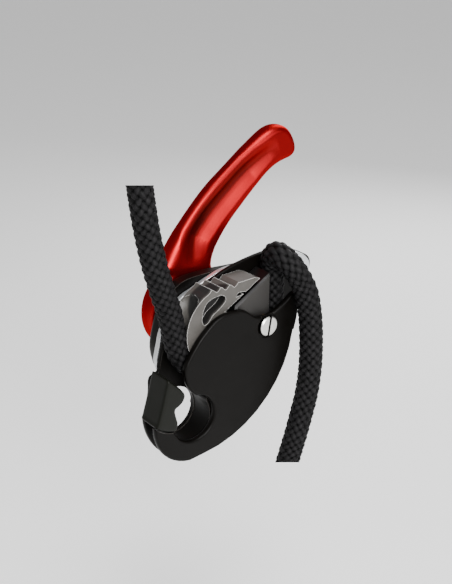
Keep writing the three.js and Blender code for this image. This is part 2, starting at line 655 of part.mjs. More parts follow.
let gate = slab(gateOutline(), plateFront, gateBack, GATE_EDGE_ROUND, 2);
gate = gate.subtract(rod(gatePin, GATE_PIN_RADIUS + CLEARANCE, coreFront, gateBack + CUT_OVERRUN));
const gateSpringRoom = GATE_SPRING_RADIUS + GATE_WIRE_RADIUS + CLEARANCE;
const gateSpringSeat = gateBack - 2 * GATE_WIRE_RADIUS * (GATE_SPRING_TURNS + 2);
gate = gate.subtract(rod(gatePin, gateSpringRoom, gateSpringSeat, gateBack + CUT_OVERRUN));
add('gate', gate, ...BLACK_NYLON);
add('gate_pin', rod(gatePin, GATE_PIN_RADIUS, coreFront + CLEARANCE, innerBack), ...SPRING_STEEL);

const gateSpringFront = gateSpringSeat + GATE_WIRE_RADIUS + CLEARANCE;
const gateSpringPath = new Helix(
  gatePin, GATE_SPRING_RADIUS, gateSpringFront, innerFront - GATE_WIRE_RADIUS - CLEARANCE, GATE_SPRING_TURNS);
add('gate_spring', tube(gateSpringPath, GATE_WIRE_RADIUS, GATE_SPRING_TURNS * COIL_FACETS, WIRE_FACETS),
  ...SPRING_STEEL);

// Handle: a hub disc on the axle and a curved arm with a long channel in each face.
const armOuterShares = [
  [-0.13, 0.225], [-0.069, 0.318], [-0.013, 0.388], [0.072, 0.479], [0.158, 0.556], [0.271, 0.637],
  [0.394, 0.72], [0.51, 0.784], [0.574, 0.789], [0.615, 0.77], [0.642, 0.735], [0.667, 0.68], [0.661, 0.645],
  [0.635, 0.625], [0.601, 0.619], [0.559, 0.612], [0.504, 0.585], [0.432, 0.528], [0.343, 0.458],
  [0.254, 0.384], [0.184, 0.299], [0.148, 0.235],
];
const channelShares = [
  [0.005, 0.27], [0.033, 0.363], [0.106, 0.452], [0.218, 0.543], [0.34, 0.632], [0.455, 0.69], [0.54, 0.715],
];
const channelWidthShares = [0.5, 0.9, 1, 0.95, 0.85, 0.6, 0.1];
const channelDepthShares = [0.02, 0.55, 1, 1, 0.9, 0.6, 0.05];
const channelSectionShares = [[0.2, 0], [0.2, -1], [-0.8, -1], [-0.8, 0], [-0.4, 0.4], [0, 1]];
const HUB_FROM = degrees(50);
const HUB_TO = degrees(138);

function handleOutline() {
  return outline(
    arc(cam, HUB_RADIUS, HUB_FROM, HUB_TO - 2 * Math.PI),
    spline(scaledAll(armOuterShares, HANDLE_REACH, cam)),
  );
}

// A V-shaped cutter that follows the arm, with its crease along the channel's middle.
function channelCutter(face, inward) {
  const centres = scaledAll(channelShares, HANDLE_REACH, cam);
  const curve = new THREE.SplineCurve(centres);
  const steps = SPLINE_STEPS * (centres.length - 1);
  const positions = [];
  const index = [];
  for (let i = 0; i <= steps; i += 1) {
    const t = i / steps;
    const centre = curve.getPoint(t);
    const along = curve.getTangent(t);
    const side = new THREE.Vector2(-along.y, along.x);
    const width = shareAt(channelWidthShares, t) * CHANNEL_WIDTH;
    const depth = shareAt(channelDepthShares, t) * CHANNEL_DEPTH;
    channelSectionShares.forEach(([across, into]) => {
      const point = centre.clone().addScaledVector(side, across * width);
      const reach = into > 0 ? into * depth : into * CUT_OVERRUN;
      positions.push(point.x, face + inward * reach, point.y);
    });
  }
  const corners = channelSectionShares.length;
  const addFacet = (a, b, c) => (inward > 0 ? index.push(a, b, c) : index.push(a, c, b));
  for (let i = 0; i < steps; i += 1) {
    for (let k = 0; k < corners; k += 1) {
      const a = i * corners + k;
      const b = i * corners + ((k + 1) % corners);
      addFacet(a, b, a + corners);
      addFacet(b, b + corners, a + corners);
    }
  }
  const last = steps * corners;
  for (let k = 1; k < corners - 1; k += 1) {
    addFacet(0, k + 1, k);
    addFacet(last, last + k, last + k + 1);
  }
  const geometry = new THREE.BufferGeometry();
  geometry.setAttribute('position', new THREE.Float32BufferAttribute(positions, 3));
  geometry.setIndex(index);
  return solid(geometry);
}

function shareAt(shares, t) {
  const place = t * (shares.length - 1);
  const low = Math.min(Math.floor(place), shares.length - 2);
  return THREE.MathUtils.lerp(shares[low], shares[low + 1], place - low);
}

const hubBore = AXLE_RADIUS + BUSH_WALL + 2 * LAYER_GAP;
let handle = slab(handleOutline(), handleFront, handleBack, HANDLE_EDGE_ROUND, 3);
handle = handle.subtract(
  rod(cam, hubBore, handleFront - CUT_OVERRUN, handleBack + CUT_OVERRUN, ROUND_FACETS),
);
handle = handle.subtract(channelCutter(handleFront, 1));
handle = handle.subtract(channelCutter(handleBack, -1));
const HANDLE_SWING = degrees(120);
handle = handle.subtract(arcSlot(
  cam, DRIVE_PIN_ORBIT_RADIUS, DRIVE_PIN_RADIUS + CLEARANCE,
  PIN_ANGLE + CAM_SWING - HANDLE_SWING - CLEARANCE / DRIVE_PIN_ORBIT_RADIUS, PIN_ANGLE + CLEARANCE / DRIVE_PIN_ORBIT_RADIUS,
  handleFront - CUT_OVERRUN, handleFront + hubSlotDepth,
));
add('handle', handle, ...RED_ANODISED);

const hubBushInner = AXLE_RADIUS + LAYER_GAP;
add('handle_bush', ring(cam, hubBushInner, hubBushInner + BUSH_WALL, handleFront, handleBack, ROUND_FACETS),
  ...BRONZE);

const washerFront = axleBack + LAYER_GAP;
const washerBack = washerFront + WASHER_THICKNESS;
add('handle_washer', ring(cam, screwBore, WASHER_RADIUS, washerFront, washerBack, ROUND_FACETS), ...BARE_STEEL);

const capFront = washerBack + LAYER_GAP;
const capBack = capFront + CAP_SCREW_HEIGHT;
let capScrew = turned(cam, [
  [0, handleFront + CLEARANCE], [SCREW_SHANK_RADIUS, handleFront + CLEARANCE], [SCREW_SHANK_RADIUS, capFront],
  [CAP_SCREW_RADIUS, capFront], [CAP_SCREW_RADIUS, capBack - CAP_SCREW_HEIGHT / 4],
  [CAP_SCREW_RADIUS * 0.85, capBack], [0, capBack],
], PIN_FACETS);
const hexSocket = new THREE.CylinderGeometry(
  CAP_SCREW_RADIUS / 2, CAP_SCREW_RADIUS / 2, CAP_SCREW_HEIGHT, 6);
hexSocket.translate(cam.x, capBack, cam.y);
capScrew = capScrew.subtract(solid(hexSocket));
add('handle_screw', capScrew, ...DARK_STEEL);

const springFront = cavityFront + RETURN_WIRE_RADIUS + CLEARANCE;
const springBack = housingBack - RETURN_WIRE_RADIUS;
const returnPath = new Helix(cam, RETURN_SPRING_RADIUS, springFront, springBack, RETURN_SPRING_TURNS);
add('return_spring', tube(returnPath, RETURN_WIRE_RADIUS, RETURN_SPRING_TURNS * COIL_FACETS, WIRE_FACETS),
  ...SPRING_STEEL);

// Rope: the stretch that the device holds, then the loaded strand and the braking strand.
function heldRoute() {
  const arcStep = degrees(7.5);
  const places = [entry];
  const camSteps = Math.ceil((2 * Math.PI + wrapEnd - wrapStart) / arcStep);
  for (let i = 0; i <= camSteps; i += 1) {
    places.push(polar(cam, ropeOrbit, wrapStart + ((2 * Math.PI + wrapEnd - wrapStart) * i) / camSteps));
  }
  const turnSteps = Math.ceil(-wrapEnd / (2 * arcStep));
  for (let i = 0; i <= turnSteps; i += 1) {
    places.push(polar(screw, ropeTurn, wrapEnd * (1 - i / turnSteps)));
  }
  places.push(exit);
  return places.map((place) => new THREE.Vector3(place.x, 0, place.y));
}

const HELD_STEPS = 40;
const heldPath = new THREE.CatmullRomCurve3(heldRoute(), false, 'centripetal');
add('rope_wrap', tube(heldPath, ropeRadius, HELD_STEPS, ROPE_FACETS), ...ROPE_BLACK);

function strand(points) {
  const path = new THREE.CatmullRomCurve3(points.map((point) => new THREE.Vector3(...point)), false, 'centripetal');
  const steps = Math.ceil(path.getLength() / (ROPE_DIAMETER * 0.6));
  return tube(path, ropeRadius, steps, ROPE_FACETS);
}

const loadedRoute = [
  [-5.14, 0, 46.43], [-6.4, 0, 52.2], [-8.7, 0, 59.6], [-11, 0, 67], [-13.2, 0, 75], [-15, 0, 83], [-16.7, 0, 92],
  [-18.4, 0, 103.8], [-19.3, 0, 110.9],
];
const brakingRoute = [
  [53, 0, 56.1], [52.9, 0, 59.6], [52.3, -0.9, 63.3], [51.5, -3.3, 66.3], [51.2, -6.7, 67.4], [51.8, -10, 66.2],
  [53.5, -12.6, 63.2], [55.7, -14.1, 59.3], [58, -15, 54.9], [60.1, -16.1, 49.4], [61.4, -16.8, 43], [62.2, -17.4, 36],
  [62.7, -17.8, 27], [62.8, -18, 14], [62, -18, 4], [60.4, -18, -5],
  [57.8, -18, -14], [54.6, -18, -24], [51.6, -18, -32.4], [49.8, -18, -37.4],
];
add('loaded_strand', strand(loadedRoute), ...ROPE_BLACK);
add('braking_strand', strand(brakingRoute), ...ROPE_BLACK);

export default descender;
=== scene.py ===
import math

import bmesh
import bpy
import numpy as np
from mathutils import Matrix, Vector


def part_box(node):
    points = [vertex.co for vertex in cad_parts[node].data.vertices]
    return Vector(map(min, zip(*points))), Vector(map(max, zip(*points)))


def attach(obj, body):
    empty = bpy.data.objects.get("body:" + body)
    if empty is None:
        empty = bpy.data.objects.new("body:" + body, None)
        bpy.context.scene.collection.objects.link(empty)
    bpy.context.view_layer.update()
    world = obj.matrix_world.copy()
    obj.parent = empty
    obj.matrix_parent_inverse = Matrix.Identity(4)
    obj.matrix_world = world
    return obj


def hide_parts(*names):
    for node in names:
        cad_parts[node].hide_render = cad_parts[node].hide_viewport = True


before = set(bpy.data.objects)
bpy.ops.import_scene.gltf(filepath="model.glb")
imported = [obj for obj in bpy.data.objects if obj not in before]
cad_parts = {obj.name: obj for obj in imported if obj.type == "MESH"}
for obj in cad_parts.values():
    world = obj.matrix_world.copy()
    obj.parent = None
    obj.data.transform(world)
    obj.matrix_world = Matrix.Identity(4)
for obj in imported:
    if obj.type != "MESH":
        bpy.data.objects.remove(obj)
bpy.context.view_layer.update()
scene = bpy.context.scene

# Camera
# Stands in front of the part, turned to the gate's side and a little above it, so that it looks
# down on the front plate with the lever standing up behind.

VIEW_TURN = math.radians(-38)
VIEW_RISE = math.radians(23)
VIEW_DISTANCE = 0.480
VIEW_LENS = 64.05
VIEW_SENSOR = 36
view_centre = Vector((0.029, 0.0045, 0.0505))
view_away = Vector((
    math.sin(VIEW_TURN) * math.cos(VIEW_RISE),
    -math.cos(VIEW_TURN) * math.cos(VIEW_RISE),
    math.sin(VIEW_RISE),
))
camera_data = bpy.data.cameras.new("camera")
camera_data.sensor_fit = "VERTICAL"
camera_data.sensor_height = VIEW_SENSOR
camera_data.lens = VIEW_LENS
camera = bpy.data.objects.new("camera", camera_data)
camera.location = view_centre + view_away * VIEW_DISTANCE
camera.rotation_euler = (-view_away).to_track_quat("-Z", "Y").to_euler()
scene.collection.objects.link(camera)
scene.camera = camera

# Rope
# An 11 mm kernmantle rope: a round core in a tight sheath, braided from eight thick black polyamide
# yarns each way. One strand comes down to the cam, runs under it, and leaves over the plate's lip.

MM = 0.001
ROPE_DIAMETER = 11 * MM
YARNS_EACH_WAY = 8
YARN_PITCH = 4.2 * MM
YARN_CROWN = 0.95 * MM
YARN_WEAVE = 0.4 * MM
YARN_PROUD = 0.35 * MM
YARN_NARROWING = 2.2
ROPE_RING_STEP = 0.32 * MM
ROPE_FACETS = 120
ROPE_FIBRE_PITCH = 0.45 * MM
ROPE_CUT_BLEND = 13 * MM
ROUTE_FINENESS = 40

CAM_AXIS = Vector((0.019, 0, 0.039))
PIVOT_AXIS = Vector((0.0427, 0, 0.0347))
CAM_ORBIT = 22 * MM
PIVOT_ORBIT = 10.3 * MM
WRAP_FROM = math.radians(192.3)
WRAP_TO = math.radians(288.7)
WRAP_POINTS = 14
PIVOT_POINTS = 6

loaded_points = [Vector((x, y, z)) * MM for x, y, z in (
    (-5.14, 0, 46.43), (-6.4, 0, 52.2), (-8.7, 0, 59.6), (-11, 0, 67), (-13.2, 0, 75), (-15, 0, 83),
    (-16.7, 0, 92), (-18.4, 0, 103.8), (-19.4, 0, 112.1),
)]
braking_points = [Vector((x, y, z)) * MM for x, y, z in (
    (53, 0, 56.1), (52.9, 0, 59.6), (52.3, -0.9, 63.3), (51.5, -3.3, 66.3), (51.2, -6.7, 67.4),
    (51.8, -10, 66.2), (53.5, -12.6, 63.2), (55.7, -14.1, 59.3), (58, -15, 54.9), (60.1, -16.1, 49.4),
    (61.4, -16.8, 43), (62.2, -17.4, 36), (62.7, -17.8, 27), (62.8, -18, 14), (62, -18, 4),
    (60.4, -18, -5), (57.8, -18, -14), (54.6, -18, -24), (51.6, -18, -32.4), (49.5, -18, -38.2),
)]


def round_axis(centre, radius, angle):
    """A point on a circle about an axis along Y."""
    return centre + Vector((math.cos(angle), 0, math.sin(angle))) * radius


held_points = [
    round_axis(CAM_AXIS, CAM_ORBIT, angle)
    for angle in np.linspace(WRAP_FROM, WRAP_TO, WRAP_POINTS)
]
held_points += [
    round_axis(PIVOT_AXIS, PIVOT_ORBIT, angle)
    for angle in np.linspace(WRAP_TO - 2 * math.pi, 0, PIVOT_POINTS)
]


def smooth_route(points, step):
    """Points at even steps along a centripetal Catmull-Rom curve through the given ones."""
    knots = [points[0] * 2 - points[1], *points, points[-1] * 2 - points[-2]]
    fine = []
    for a, b, c, d in zip(knots, knots[1:], knots[2:], knots[3:]):
        ta = 0.0
        tb = ta + math.sqrt((b - a).length)
        tc = tb + math.sqrt((c - b).length)
        td = tc + math.sqrt((d - c).length)
        for t in np.linspace(tb, tc, ROUTE_FINENESS, endpoint=False):
            ab = a * ((tb - t) / (tb - ta)) + b * ((t - ta) / (tb - ta))
            bc = b * ((tc - t) / (tc - tb)) + c * ((t - tb) / (tc - tb))
            cd = c * ((td - t) / (td - tc)) + d * ((t - tc) / (td - tc))
            ac = ab * ((tc - t) / (tc - ta)) + bc * ((t - ta) / (tc - ta))
            bd = bc * ((td - t) / (td - tb)) + cd * ((t - tb) / (td - tb))
            fine.append(ac * ((tc - t) / (tc - tb)) + bd * ((t - tb) / (tc - tb)))
    fine.append(points[-1])
    places = np.array([tuple(p) for p in fine])
    run = np.concatenate(([0], np.cumsum(np.linalg.norm(np.diff(places, axis=0), axis=1))))
    even = np.linspace(0, run[-1], max(2, round(run[-1] / step) + 1))
    return np.stack([np.interp(even, run, places[:, k]) for k in range(3)], axis=1), even


def braid_height(around, along):
    """How far the sheath stands out where two sets of yarns pass over and under each other."""
    right = YARNS_EACH_WAY * around + along / YARN_PITCH
    left = YARNS_EACH_WAY * around - along / YARN_PITCH
    right_yarn = np.floor(right)
    left_yarn = np.floor(left)
    right_crown = np.sqrt(np.maximum(1 - (YARN_NARROWING * (right - right_yarn - 0.5)) ** 2, 0))
    left_crown = np.sqrt(np.maximum(1 - (YARN_NARROWING * (left - left_yarn - 0.5)) ** 2, 0))
    right_lift = np.cos(math.pi * (left - 0.5 - right_yarn))
    left_lift = -np.cos(math.pi * (right - 0.5 - left_yarn))
    right_top = YARN_CROWN * right_crown + YARN_WEAVE * right_lift
    left_top = YARN_CROWN * left_crown + YARN_WEAVE * left_lift
    return np.maximum(right_top, left_top) - YARN_CROWN - YARN_WEAVE


# The whole rope is one braided tube, so the yarns run on from each stretch into the next.
rope_route, rope_run = smooth_route(loaded_points[::-1] + held_points + braking_points, ROPE_RING_STEP)
rope_ahead = np.gradient(rope_route, axis=0)
rope_ahead /= np.linalg.norm(rope_ahead, axis=1)[:, None]
rope_out = np.empty_like(rope_ahead)
out = np.array((0.0, -1.0, 0.0))
for ring, ahead in enumerate(rope_ahead):
    out = out - ahead * (out @ ahead)
    out /= np.linalg.norm(out)
    rope_out[ring] = out
rope_side = np.cross(rope_ahead, rope_out)
around = np.arange(ROPE_FACETS) / ROPE_FACETS
relief = braid_height(around[None, :], rope_run[:, None])
turn = 2 * math.pi * around[None, :, None]
spread = rope_out[:, None] * np.cos(turn) + rope_side[:, None] * np.sin(turn)
rope_grid = rope_route[:, None] + spread * (ROPE_DIAMETER / 2 + YARN_PROUD + relief)[:, :, None]

# Both ends are cut off level, seen from the side where the front plate shows.
level = np.array(camera.rotation_euler.to_matrix().col[0])
cut_normals = []
for end, sign in ((0, -1), (-1, 1)):
    facing = np.cross(level, rope_route[end] - np.array(camera.location))
    facing *= sign * np.sign(facing @ rope_ahead[end]) / np.linalg.norm(facing)
    cut_normals.append(facing)
    slide = -((rope_grid[end] - rope_route[end]) @ facing) / (rope_ahead[end] @ facing)
    share = np.clip(1 - np.abs(rope_run - rope_run[end]) / ROPE_CUT_BLEND, 0, 1)
    rope_grid += share[:, None, None] * slide[None, :, None] * rope_ahead[:, None]

along_grid = np.gradient(rope_grid, axis=0)
around_grid = np.roll(rope_grid, -1, axis=1) - np.roll(rope_grid, 1, axis=1)
rope_normals = np.cross(around_grid, along_grid)
rope_normals /= np.linalg.norm(rope_normals, axis=2)[:, :, None]


def rope_stretch(name, first, last):
    """The closed mesh of one stretch of the rope, with normals that carry on into its neighbours."""
    rings = last - first + 1
    verts = rope_grid[first:last + 1].reshape(-1, 3)
    centres = rope_route[[first, last]]
    ring, k = np.meshgrid(np.arange(rings - 1), np.arange(ROPE_FACETS), indexing="ij")
    after = (k + 1) % ROPE_FACETS
    low = ring * ROPE_FACETS
    sides = np.stack([low + k, low + after, low + ROPE_FACETS + after, low + ROPE_FACETS + k], axis=-1)
    sides = sides.reshape(-1, 4)
    one_ring = np.arange(ROPE_FACETS)
    next_ring = (one_ring + 1) % ROPE_FACETS
    start_cap = np.stack([next_ring, one_ring, np.full(ROPE_FACETS, len(verts))], axis=1)
    end_low = (rings - 1) * ROPE_FACETS
    end_cap = np.stack([
        end_low + one_ring, end_low + next_ring, np.full(ROPE_FACETS, len(verts) + 1)], axis=1)
    mesh = bpy.data.meshes.new(name)
    mesh.from_pydata(
        np.concatenate([verts, centres]).tolist(), [], sides.tolist() + start_cap.tolist() + end_cap.tolist())
    crowns = 1 + relief[first:last + 1].ravel() / (YARN_CROWN + YARN_WEAVE)
    mesh.attributes.new("yarn_crown", "FLOAT", "POINT").data.foreach_set("value", [*crowns, 0, 0])
    shares = np.stack([k, k + 1, k + 1, k], axis=-1).reshape(-1) / ROPE_FACETS
    runs = rope_run[np.stack([ring, ring, ring + 1, ring + 1], axis=-1).reshape(-1) + first]
    sheath_map = np.zeros((len(mesh.loops), 2))
    sheath_map[:len(shares)] = np.stack([shares, runs / (math.pi * ROPE_DIAMETER)], axis=1)
    mesh.uv_layers.new(name="sheath").data.foreach_set("uv", sheath_map.ravel())
    mesh.shade_smooth()
    cap_normals = [
        cut_normals[0] if first == 0 else -rope_ahead[first],
        cut_normals[1] if last == len(rope_route) - 1 else rope_ahead[last],
    ]
    caps = np.repeat(cap_normals, 3 * ROPE_FACETS, axis=0)
    sheath = rope_normals[first:last + 1].reshape(-1, 3)[sides.reshape(-1)]
    mesh.normals_split_custom_set(np.concatenate([sheath, caps]).tolist())
    piece = bpy.data.objects.new(name, mesh)
    scene.collection.objects.link(piece)
    return piece


def linear(colour):
    """A hex sRGB colour as the linear values that shaders take."""
    channels = [int(colour[k:k + 2], 16) / 255 for k in (1, 3, 5)]
    return tuple(c / 12.92 if c <= 0.04045 else ((c + 0.055) / 1.055) ** 2.4 for c in channels) + (1.0,)


def add_node(tree, kind, inputs=None, **settings):
    """Adds one node with its settings; a socket given as an input is linked.

    A colour mix has its two colours on the inputs 6 and 7.
    """
    made = tree.nodes.new(kind)
    for key, value in settings.items():
        setattr(made, key, value)
    for key, value in (inputs or {}).items():
        if isinstance(value, bpy.types.NodeSocket):
            tree.links.new(value, made.inputs[key])
        else:
            made.inputs[key].default_value = value
    return made


def new_material(name, inputs):
    """A material whose Principled shader has these inputs; returns it with its tree and shader."""
    material = bpy.data.materials.new(name)
    material.use_nodes = True
    tree = material.node_tree
    shader = tree.nodes["Principled BSDF"]
    for key, value in inputs.items():
        shader.inputs[key].default_value = value
    return material, tree, shader


# Braided polyamide: dull black filaments, with painted shade that turns the gaps between the rounded
# yarns deep black and a painted highlight on their crowns. The filaments are about 0.03 mm thick and
# are drawn 0.45 mm apart, so that they show.
rope_sheath, tree, shader = new_material("braided_black_polyamide", {
    "Roughness": 0.6, "Specular IOR Level": 0.08,
})
place = add_node(tree, "ShaderNodeTexCoord")
crown = add_node(tree, "ShaderNodeAttribute", attribute_name="yarn_crown")
patches = add_node(tree, "ShaderNodeTexNoise", {
    "Vector": place.outputs["Object"], "Scale": 1 / (2.6 * MM), "Detail": 2.0})
worn = add_node(tree, "ShaderNodeMapRange", {
    "Value": patches.outputs["Fac"], "From Min": 0.3, "From Max": 0.7, "To Min": 0.7, "To Max": 1.1})
lit = add_node(tree, "ShaderNodeMath", {
    0: crown.outputs["Fac"], 1: worn.outputs["Result"]}, operation="MULTIPLY")
# Painted shade and highlight: black in the gaps between the yarns, lighter on their crowns.
painted_yarn_shade = add_node(tree, "ShaderNodeMapRange", {
    "Value": lit.outputs["Value"], "From Min": 0.42, "From Max": 1.05})
tone = add_node(tree, "ShaderNodeMix", {
    "Factor": painted_yarn_shade.outputs["Result"], 6: linear("#010101"), 7: linear("#1b1a1b")}, data_type="RGBA")
tree.links.new(tone.outputs[2], shader.inputs["Base Color"])
fibres = add_node(tree, "ShaderNodeTexWave", {
    "Vector": place.outputs["Object"], "Scale": 1 / (2 * math.pi * ROPE_FIBRE_PITCH), "Distortion": 6.0,
    "Detail": 2.0, "Detail Scale": 3.0}, bands_direction="DIAGONAL")
raised = add_node(tree, "ShaderNodeBump", {
    "Height": fibres.outputs["Fac"], "Strength": 0.3, "Distance": 0.06 * MM})
tree.links.new(raised.outputs["Normal"], shader.inputs["Normal"])

held_from, held_to = (
    int(np.argmin(np.linalg.norm(rope_route - np.array(point), axis=1)))
    for point in (loaded_points[0], braking_points[0]))
rope_end = len(rope_route) - 1
rope_loaded = rope_stretch("rope_loaded", 0, held_from)
rope_held = rope_stretch("rope_held", held_from, held_to)
rope_braking = rope_stretch("rope_braking", held_to, rope_end)
for piece, node in (
        (rope_loaded, "loaded_strand"), (rope_held, "rope_wrap"), (rope_braking, "braking_strand")):
    piece.data.materials.append(rope_sheath)
    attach(piece, "frame")
    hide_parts(node)

# Inner plate
# A 2.5 mm aluminium side plate, black anodised, that carries the whole load from the eye to the
# pivot. It is punched, tumbled until its edges are soft, and then anodised.


def uneven_gloss(tree, shader, pattern, smooth, rough):
    """The finish is glossier in some places of a pattern than in others."""
    spread = add_node(tree, "ShaderNodeMapRange", {
        "Value": pattern.outputs["Fac"], "From Min": 0.3, "From Max": 0.7,
        "To Min": smooth, "To Max": rough})
    tree.links.new(spread.outputs["Result"], shader.inputs["Roughness"])


def fine_grain(tree, shader, place, pitch, strength, depth):
    """A fine grain over the whole surface, with its pitch and depth as lengths."""
    grain = add_node(tree, "ShaderNodeTexNoise", {
        "Vector": place.outputs["Object"], "Scale": 1 / pitch, "Detail": 2.0})
    raised = add_node(tree, "ShaderNodeBump", {
        "Height": grain.outputs["Fac"], "Strength": strength, "Distance": depth})
    tree.links.new(raised.outputs["Normal"], shader.inputs["Normal"])


# Black anodising: a thin dyed oxide, so nearly black with a soft, slightly warm sheen, and a painted
# highlight in grey along its edges. The tumbled grain is below 0.1 mm and is drawn at 0.35 mm.
black_anodised, tree, shader = new_material("black_anodised_aluminium", {
    "Roughness": 0.36, "Specular IOR Level": 0.08,
})
place = add_node(tree, "ShaderNodeTexCoord")
cloud = add_node(tree, "ShaderNodeTexNoise", {
    "Vector": place.outputs["Object"], "Scale": 1 / (9 * MM), "Detail": 3.0, "Roughness": 0.6})
uneven_gloss(tree, shader, cloud, smooth=0.34, rough=0.44)
fine_grain(tree, shader, place, pitch=0.35 * MM, strength=0.25, depth=0.02 * MM)
# Painted highlight: the colour turns grey along every edge.
softened = add_node(tree, "ShaderNodeBevel", {"Radius": 0.22 * MM}, samples=6)
faces = add_node(tree, "ShaderNodeNewGeometry")
turned = add_node(tree, "ShaderNodeVectorMath", {
    0: softened.outputs["Normal"], 1: faces.outputs["Normal"]}, operation="DOT_PRODUCT")
lightened = add_node(tree, "ShaderNodeMapRange", {
    "Value": turned.outputs["Value"], "From Min": 0.975, "From Max": 0.86})
tone = add_node(tree, "ShaderNodeMix", {
    "Factor": lightened.outputs["Result"], 6: linear("#060504"), 7: linear("#5a5652")}, data_type="RGBA")
tree.links.new(tone.outputs[2], shader.inputs["Base Color"])


def finished_copy(name, node, crease_degrees, material, body):
    """A piece with the CAD node's shape, its facets merged and shaded smooth up to a crease angle."""
    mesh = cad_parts[node].data.copy()
    mesh.name = name
    made = bmesh.new()
    made.from_mesh(mesh)
    bmesh.ops.remove_doubles(made, verts=made.verts, dist=0.002 * MM)
    bmesh.ops.dissolve_limit(
        made, angle_limit=math.radians(0.2), verts=made.verts, edges=made.edges,
        use_dissolve_boundaries=False)
    made.to_mesh(mesh)
    made.free()
    mesh.materials.clear()
    mesh.materials.append(material)
    mesh.shade_smooth()
    mesh.set_sharp_from_angle(angle=math.radians(crease_degrees))
    piece = bpy.data.objects.new(name, mesh)
    scene.collection.objects.link(piece)
    weighted = piece.modifiers.new("face_weighted_normals", "WEIGHTED_NORMAL")
    weighted.keep_sharp = True
    weighted.weight = 80
    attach(piece, body)
    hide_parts(node)
    return piece


finished_copy("inner_side_plate", "inner_plate", 50, black_anodised, "frame")

# Eye spacer and its rivets
# A curved aluminium bar, milled and black anodised, that holds the plates apart beside the eye.
# Two stainless steel rivets fix it to the inner plate.


def finish_node(node, material):
    """Gives a carried-over CAD node its material."""
    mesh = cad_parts[node].data
    mesh.materials.clear()
    mesh.materials.append(material)


# Stainless steel plate stock: a ground face with fine lines one way, and a bright neutral grey.
# The lines are about 0.05 mm apart and are drawn 0.3 mm apart.
ground_steel, tree, shader = new_material("ground_stainless_steel", {
    "Base Color": linear("#c6c8ca"), "Metallic": 0.75, "Roughness": 0.3,
})
place = add_node(tree, "ShaderNodeTexCoord")
stretched = add_node(tree, "ShaderNodeMapping", {
    "Vector": place.outputs["Object"], "Scale": (0.04, 1.0, 1.0)})
lines = add_node(tree, "ShaderNodeTexNoise", {
    "Vector": stretched.outputs["Vector"], "Scale": 1 / (0.3 * MM), "Detail": 3.0})
uneven_gloss(tree, shader, lines, smooth=0.22, rough=0.4)
raised = add_node(tree, "ShaderNodeBump", {
    "Height": lines.outputs["Fac"], "Strength": 0.2, "Distance": 0.02 * MM})
tree.links.new(raised.outputs["Normal"], shader.inputs["Normal"])

finished_copy("eye_spacer_bar", "eye_spacer", 50, black_anodised, "frame")
finish_node("spacer_rivet_1", ground_steel)
finish_node("spacer_rivet_2", ground_steel)

# Friction block and its dowel
# A hardened steel wedge that the rope bends round, milled and blackened. A pressed-in steel dowel
# keeps it from turning about the pivot's sleeve.

# Blackened steel: a dark satin oxide, with painted light in grey on the front face, more so towards
# its top. The milled grain is below 0.1 mm and is drawn at 0.4 mm.
blackened_steel, tree, shader = new_material("blackened_satin_steel", {
    "Metallic": 0.6, "Roughness": 0.42,
})
place = add_node(tree, "ShaderNodeTexCoord")
patches = add_node(tree, "ShaderNodeTexNoise", {
    "Vector": place.outputs["Object"], "Scale": 1 / (5 * MM), "Detail": 4.0})
uneven_gloss(tree, shader, patches, smooth=0.36, rough=0.5)
fine_grain(tree, shader, place, pitch=0.4 * MM, strength=0.3, depth=0.03 * MM)
# Painted light: faces that look to the front are lighter grey, more so higher up.
faces = add_node(tree, "ShaderNodeNewGeometry")
aim = add_node(tree, "ShaderNodeSeparateXYZ", {"Vector": faces.outputs["True Normal"]})
forward = add_node(tree, "ShaderNodeMapRange", {
    "Value": aim.outputs["Y"], "From Min": -0.97, "From Max": -0.8, "To Min": 1.0, "To Max": 0.0})
block_low, block_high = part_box("friction_block")
apart = add_node(tree, "ShaderNodeSeparateXYZ", {"Vector": place.outputs["Object"]})
upward = add_node(tree, "ShaderNodeMapRange", {
    "Value": apart.outputs["Z"], "From Min": block_low.z + 8 * MM, "From Max": block_high.z,
    "To Min": 0.25, "To Max": 1.0})
lightened = add_node(tree, "ShaderNodeMath", {
    0: forward.outputs["Result"], 1: upward.outputs["Result"]}, operation="MULTIPLY")
tone = add_node(tree, "ShaderNodeMix", {
    "Factor": lightened.outputs["Value"], 6: linear("#0d0c0c"), 7: linear("#3a3836")}, data_type="RGBA")
tree.links.new(tone.outputs[2], shader.inputs["Base Color"])
finished_copy("rope_wedge", "friction_block", 30, blackened_steel, "frame")

# Drawn and ground steel, for pins and wire: bright, with a fine even polish whose marks are drawn
# at 0.5 mm.
drawn_steel, tree, shader = new_material("drawn_spring_steel", {
    "Base Color": linear("#a2a4a8"), "Metallic": 1.0, "Roughness": 0.3,
})
place = add_node(tree, "ShaderNodeTexCoord")
lines = add_node(tree, "ShaderNodeTexNoise", {
    "Vector": place.outputs["Object"], "Scale": 1 / (0.5 * MM), "Detail": 2.0})
uneven_gloss(tree, shader, lines, smooth=0.24, rough=0.36)
finish_node("block_dowel", drawn_steel)

# Pivot: sleeve, slotted screw and nut
# A turned steel sleeve spaces the plates and carries the swinging one. A big slotted screw, turned
# and nickel plated, closes it from the front, and a blackened nut from behind.

finish_node("pivot_sleeve", drawn_steel)
finish_node("pivot_nut", blackened_steel)
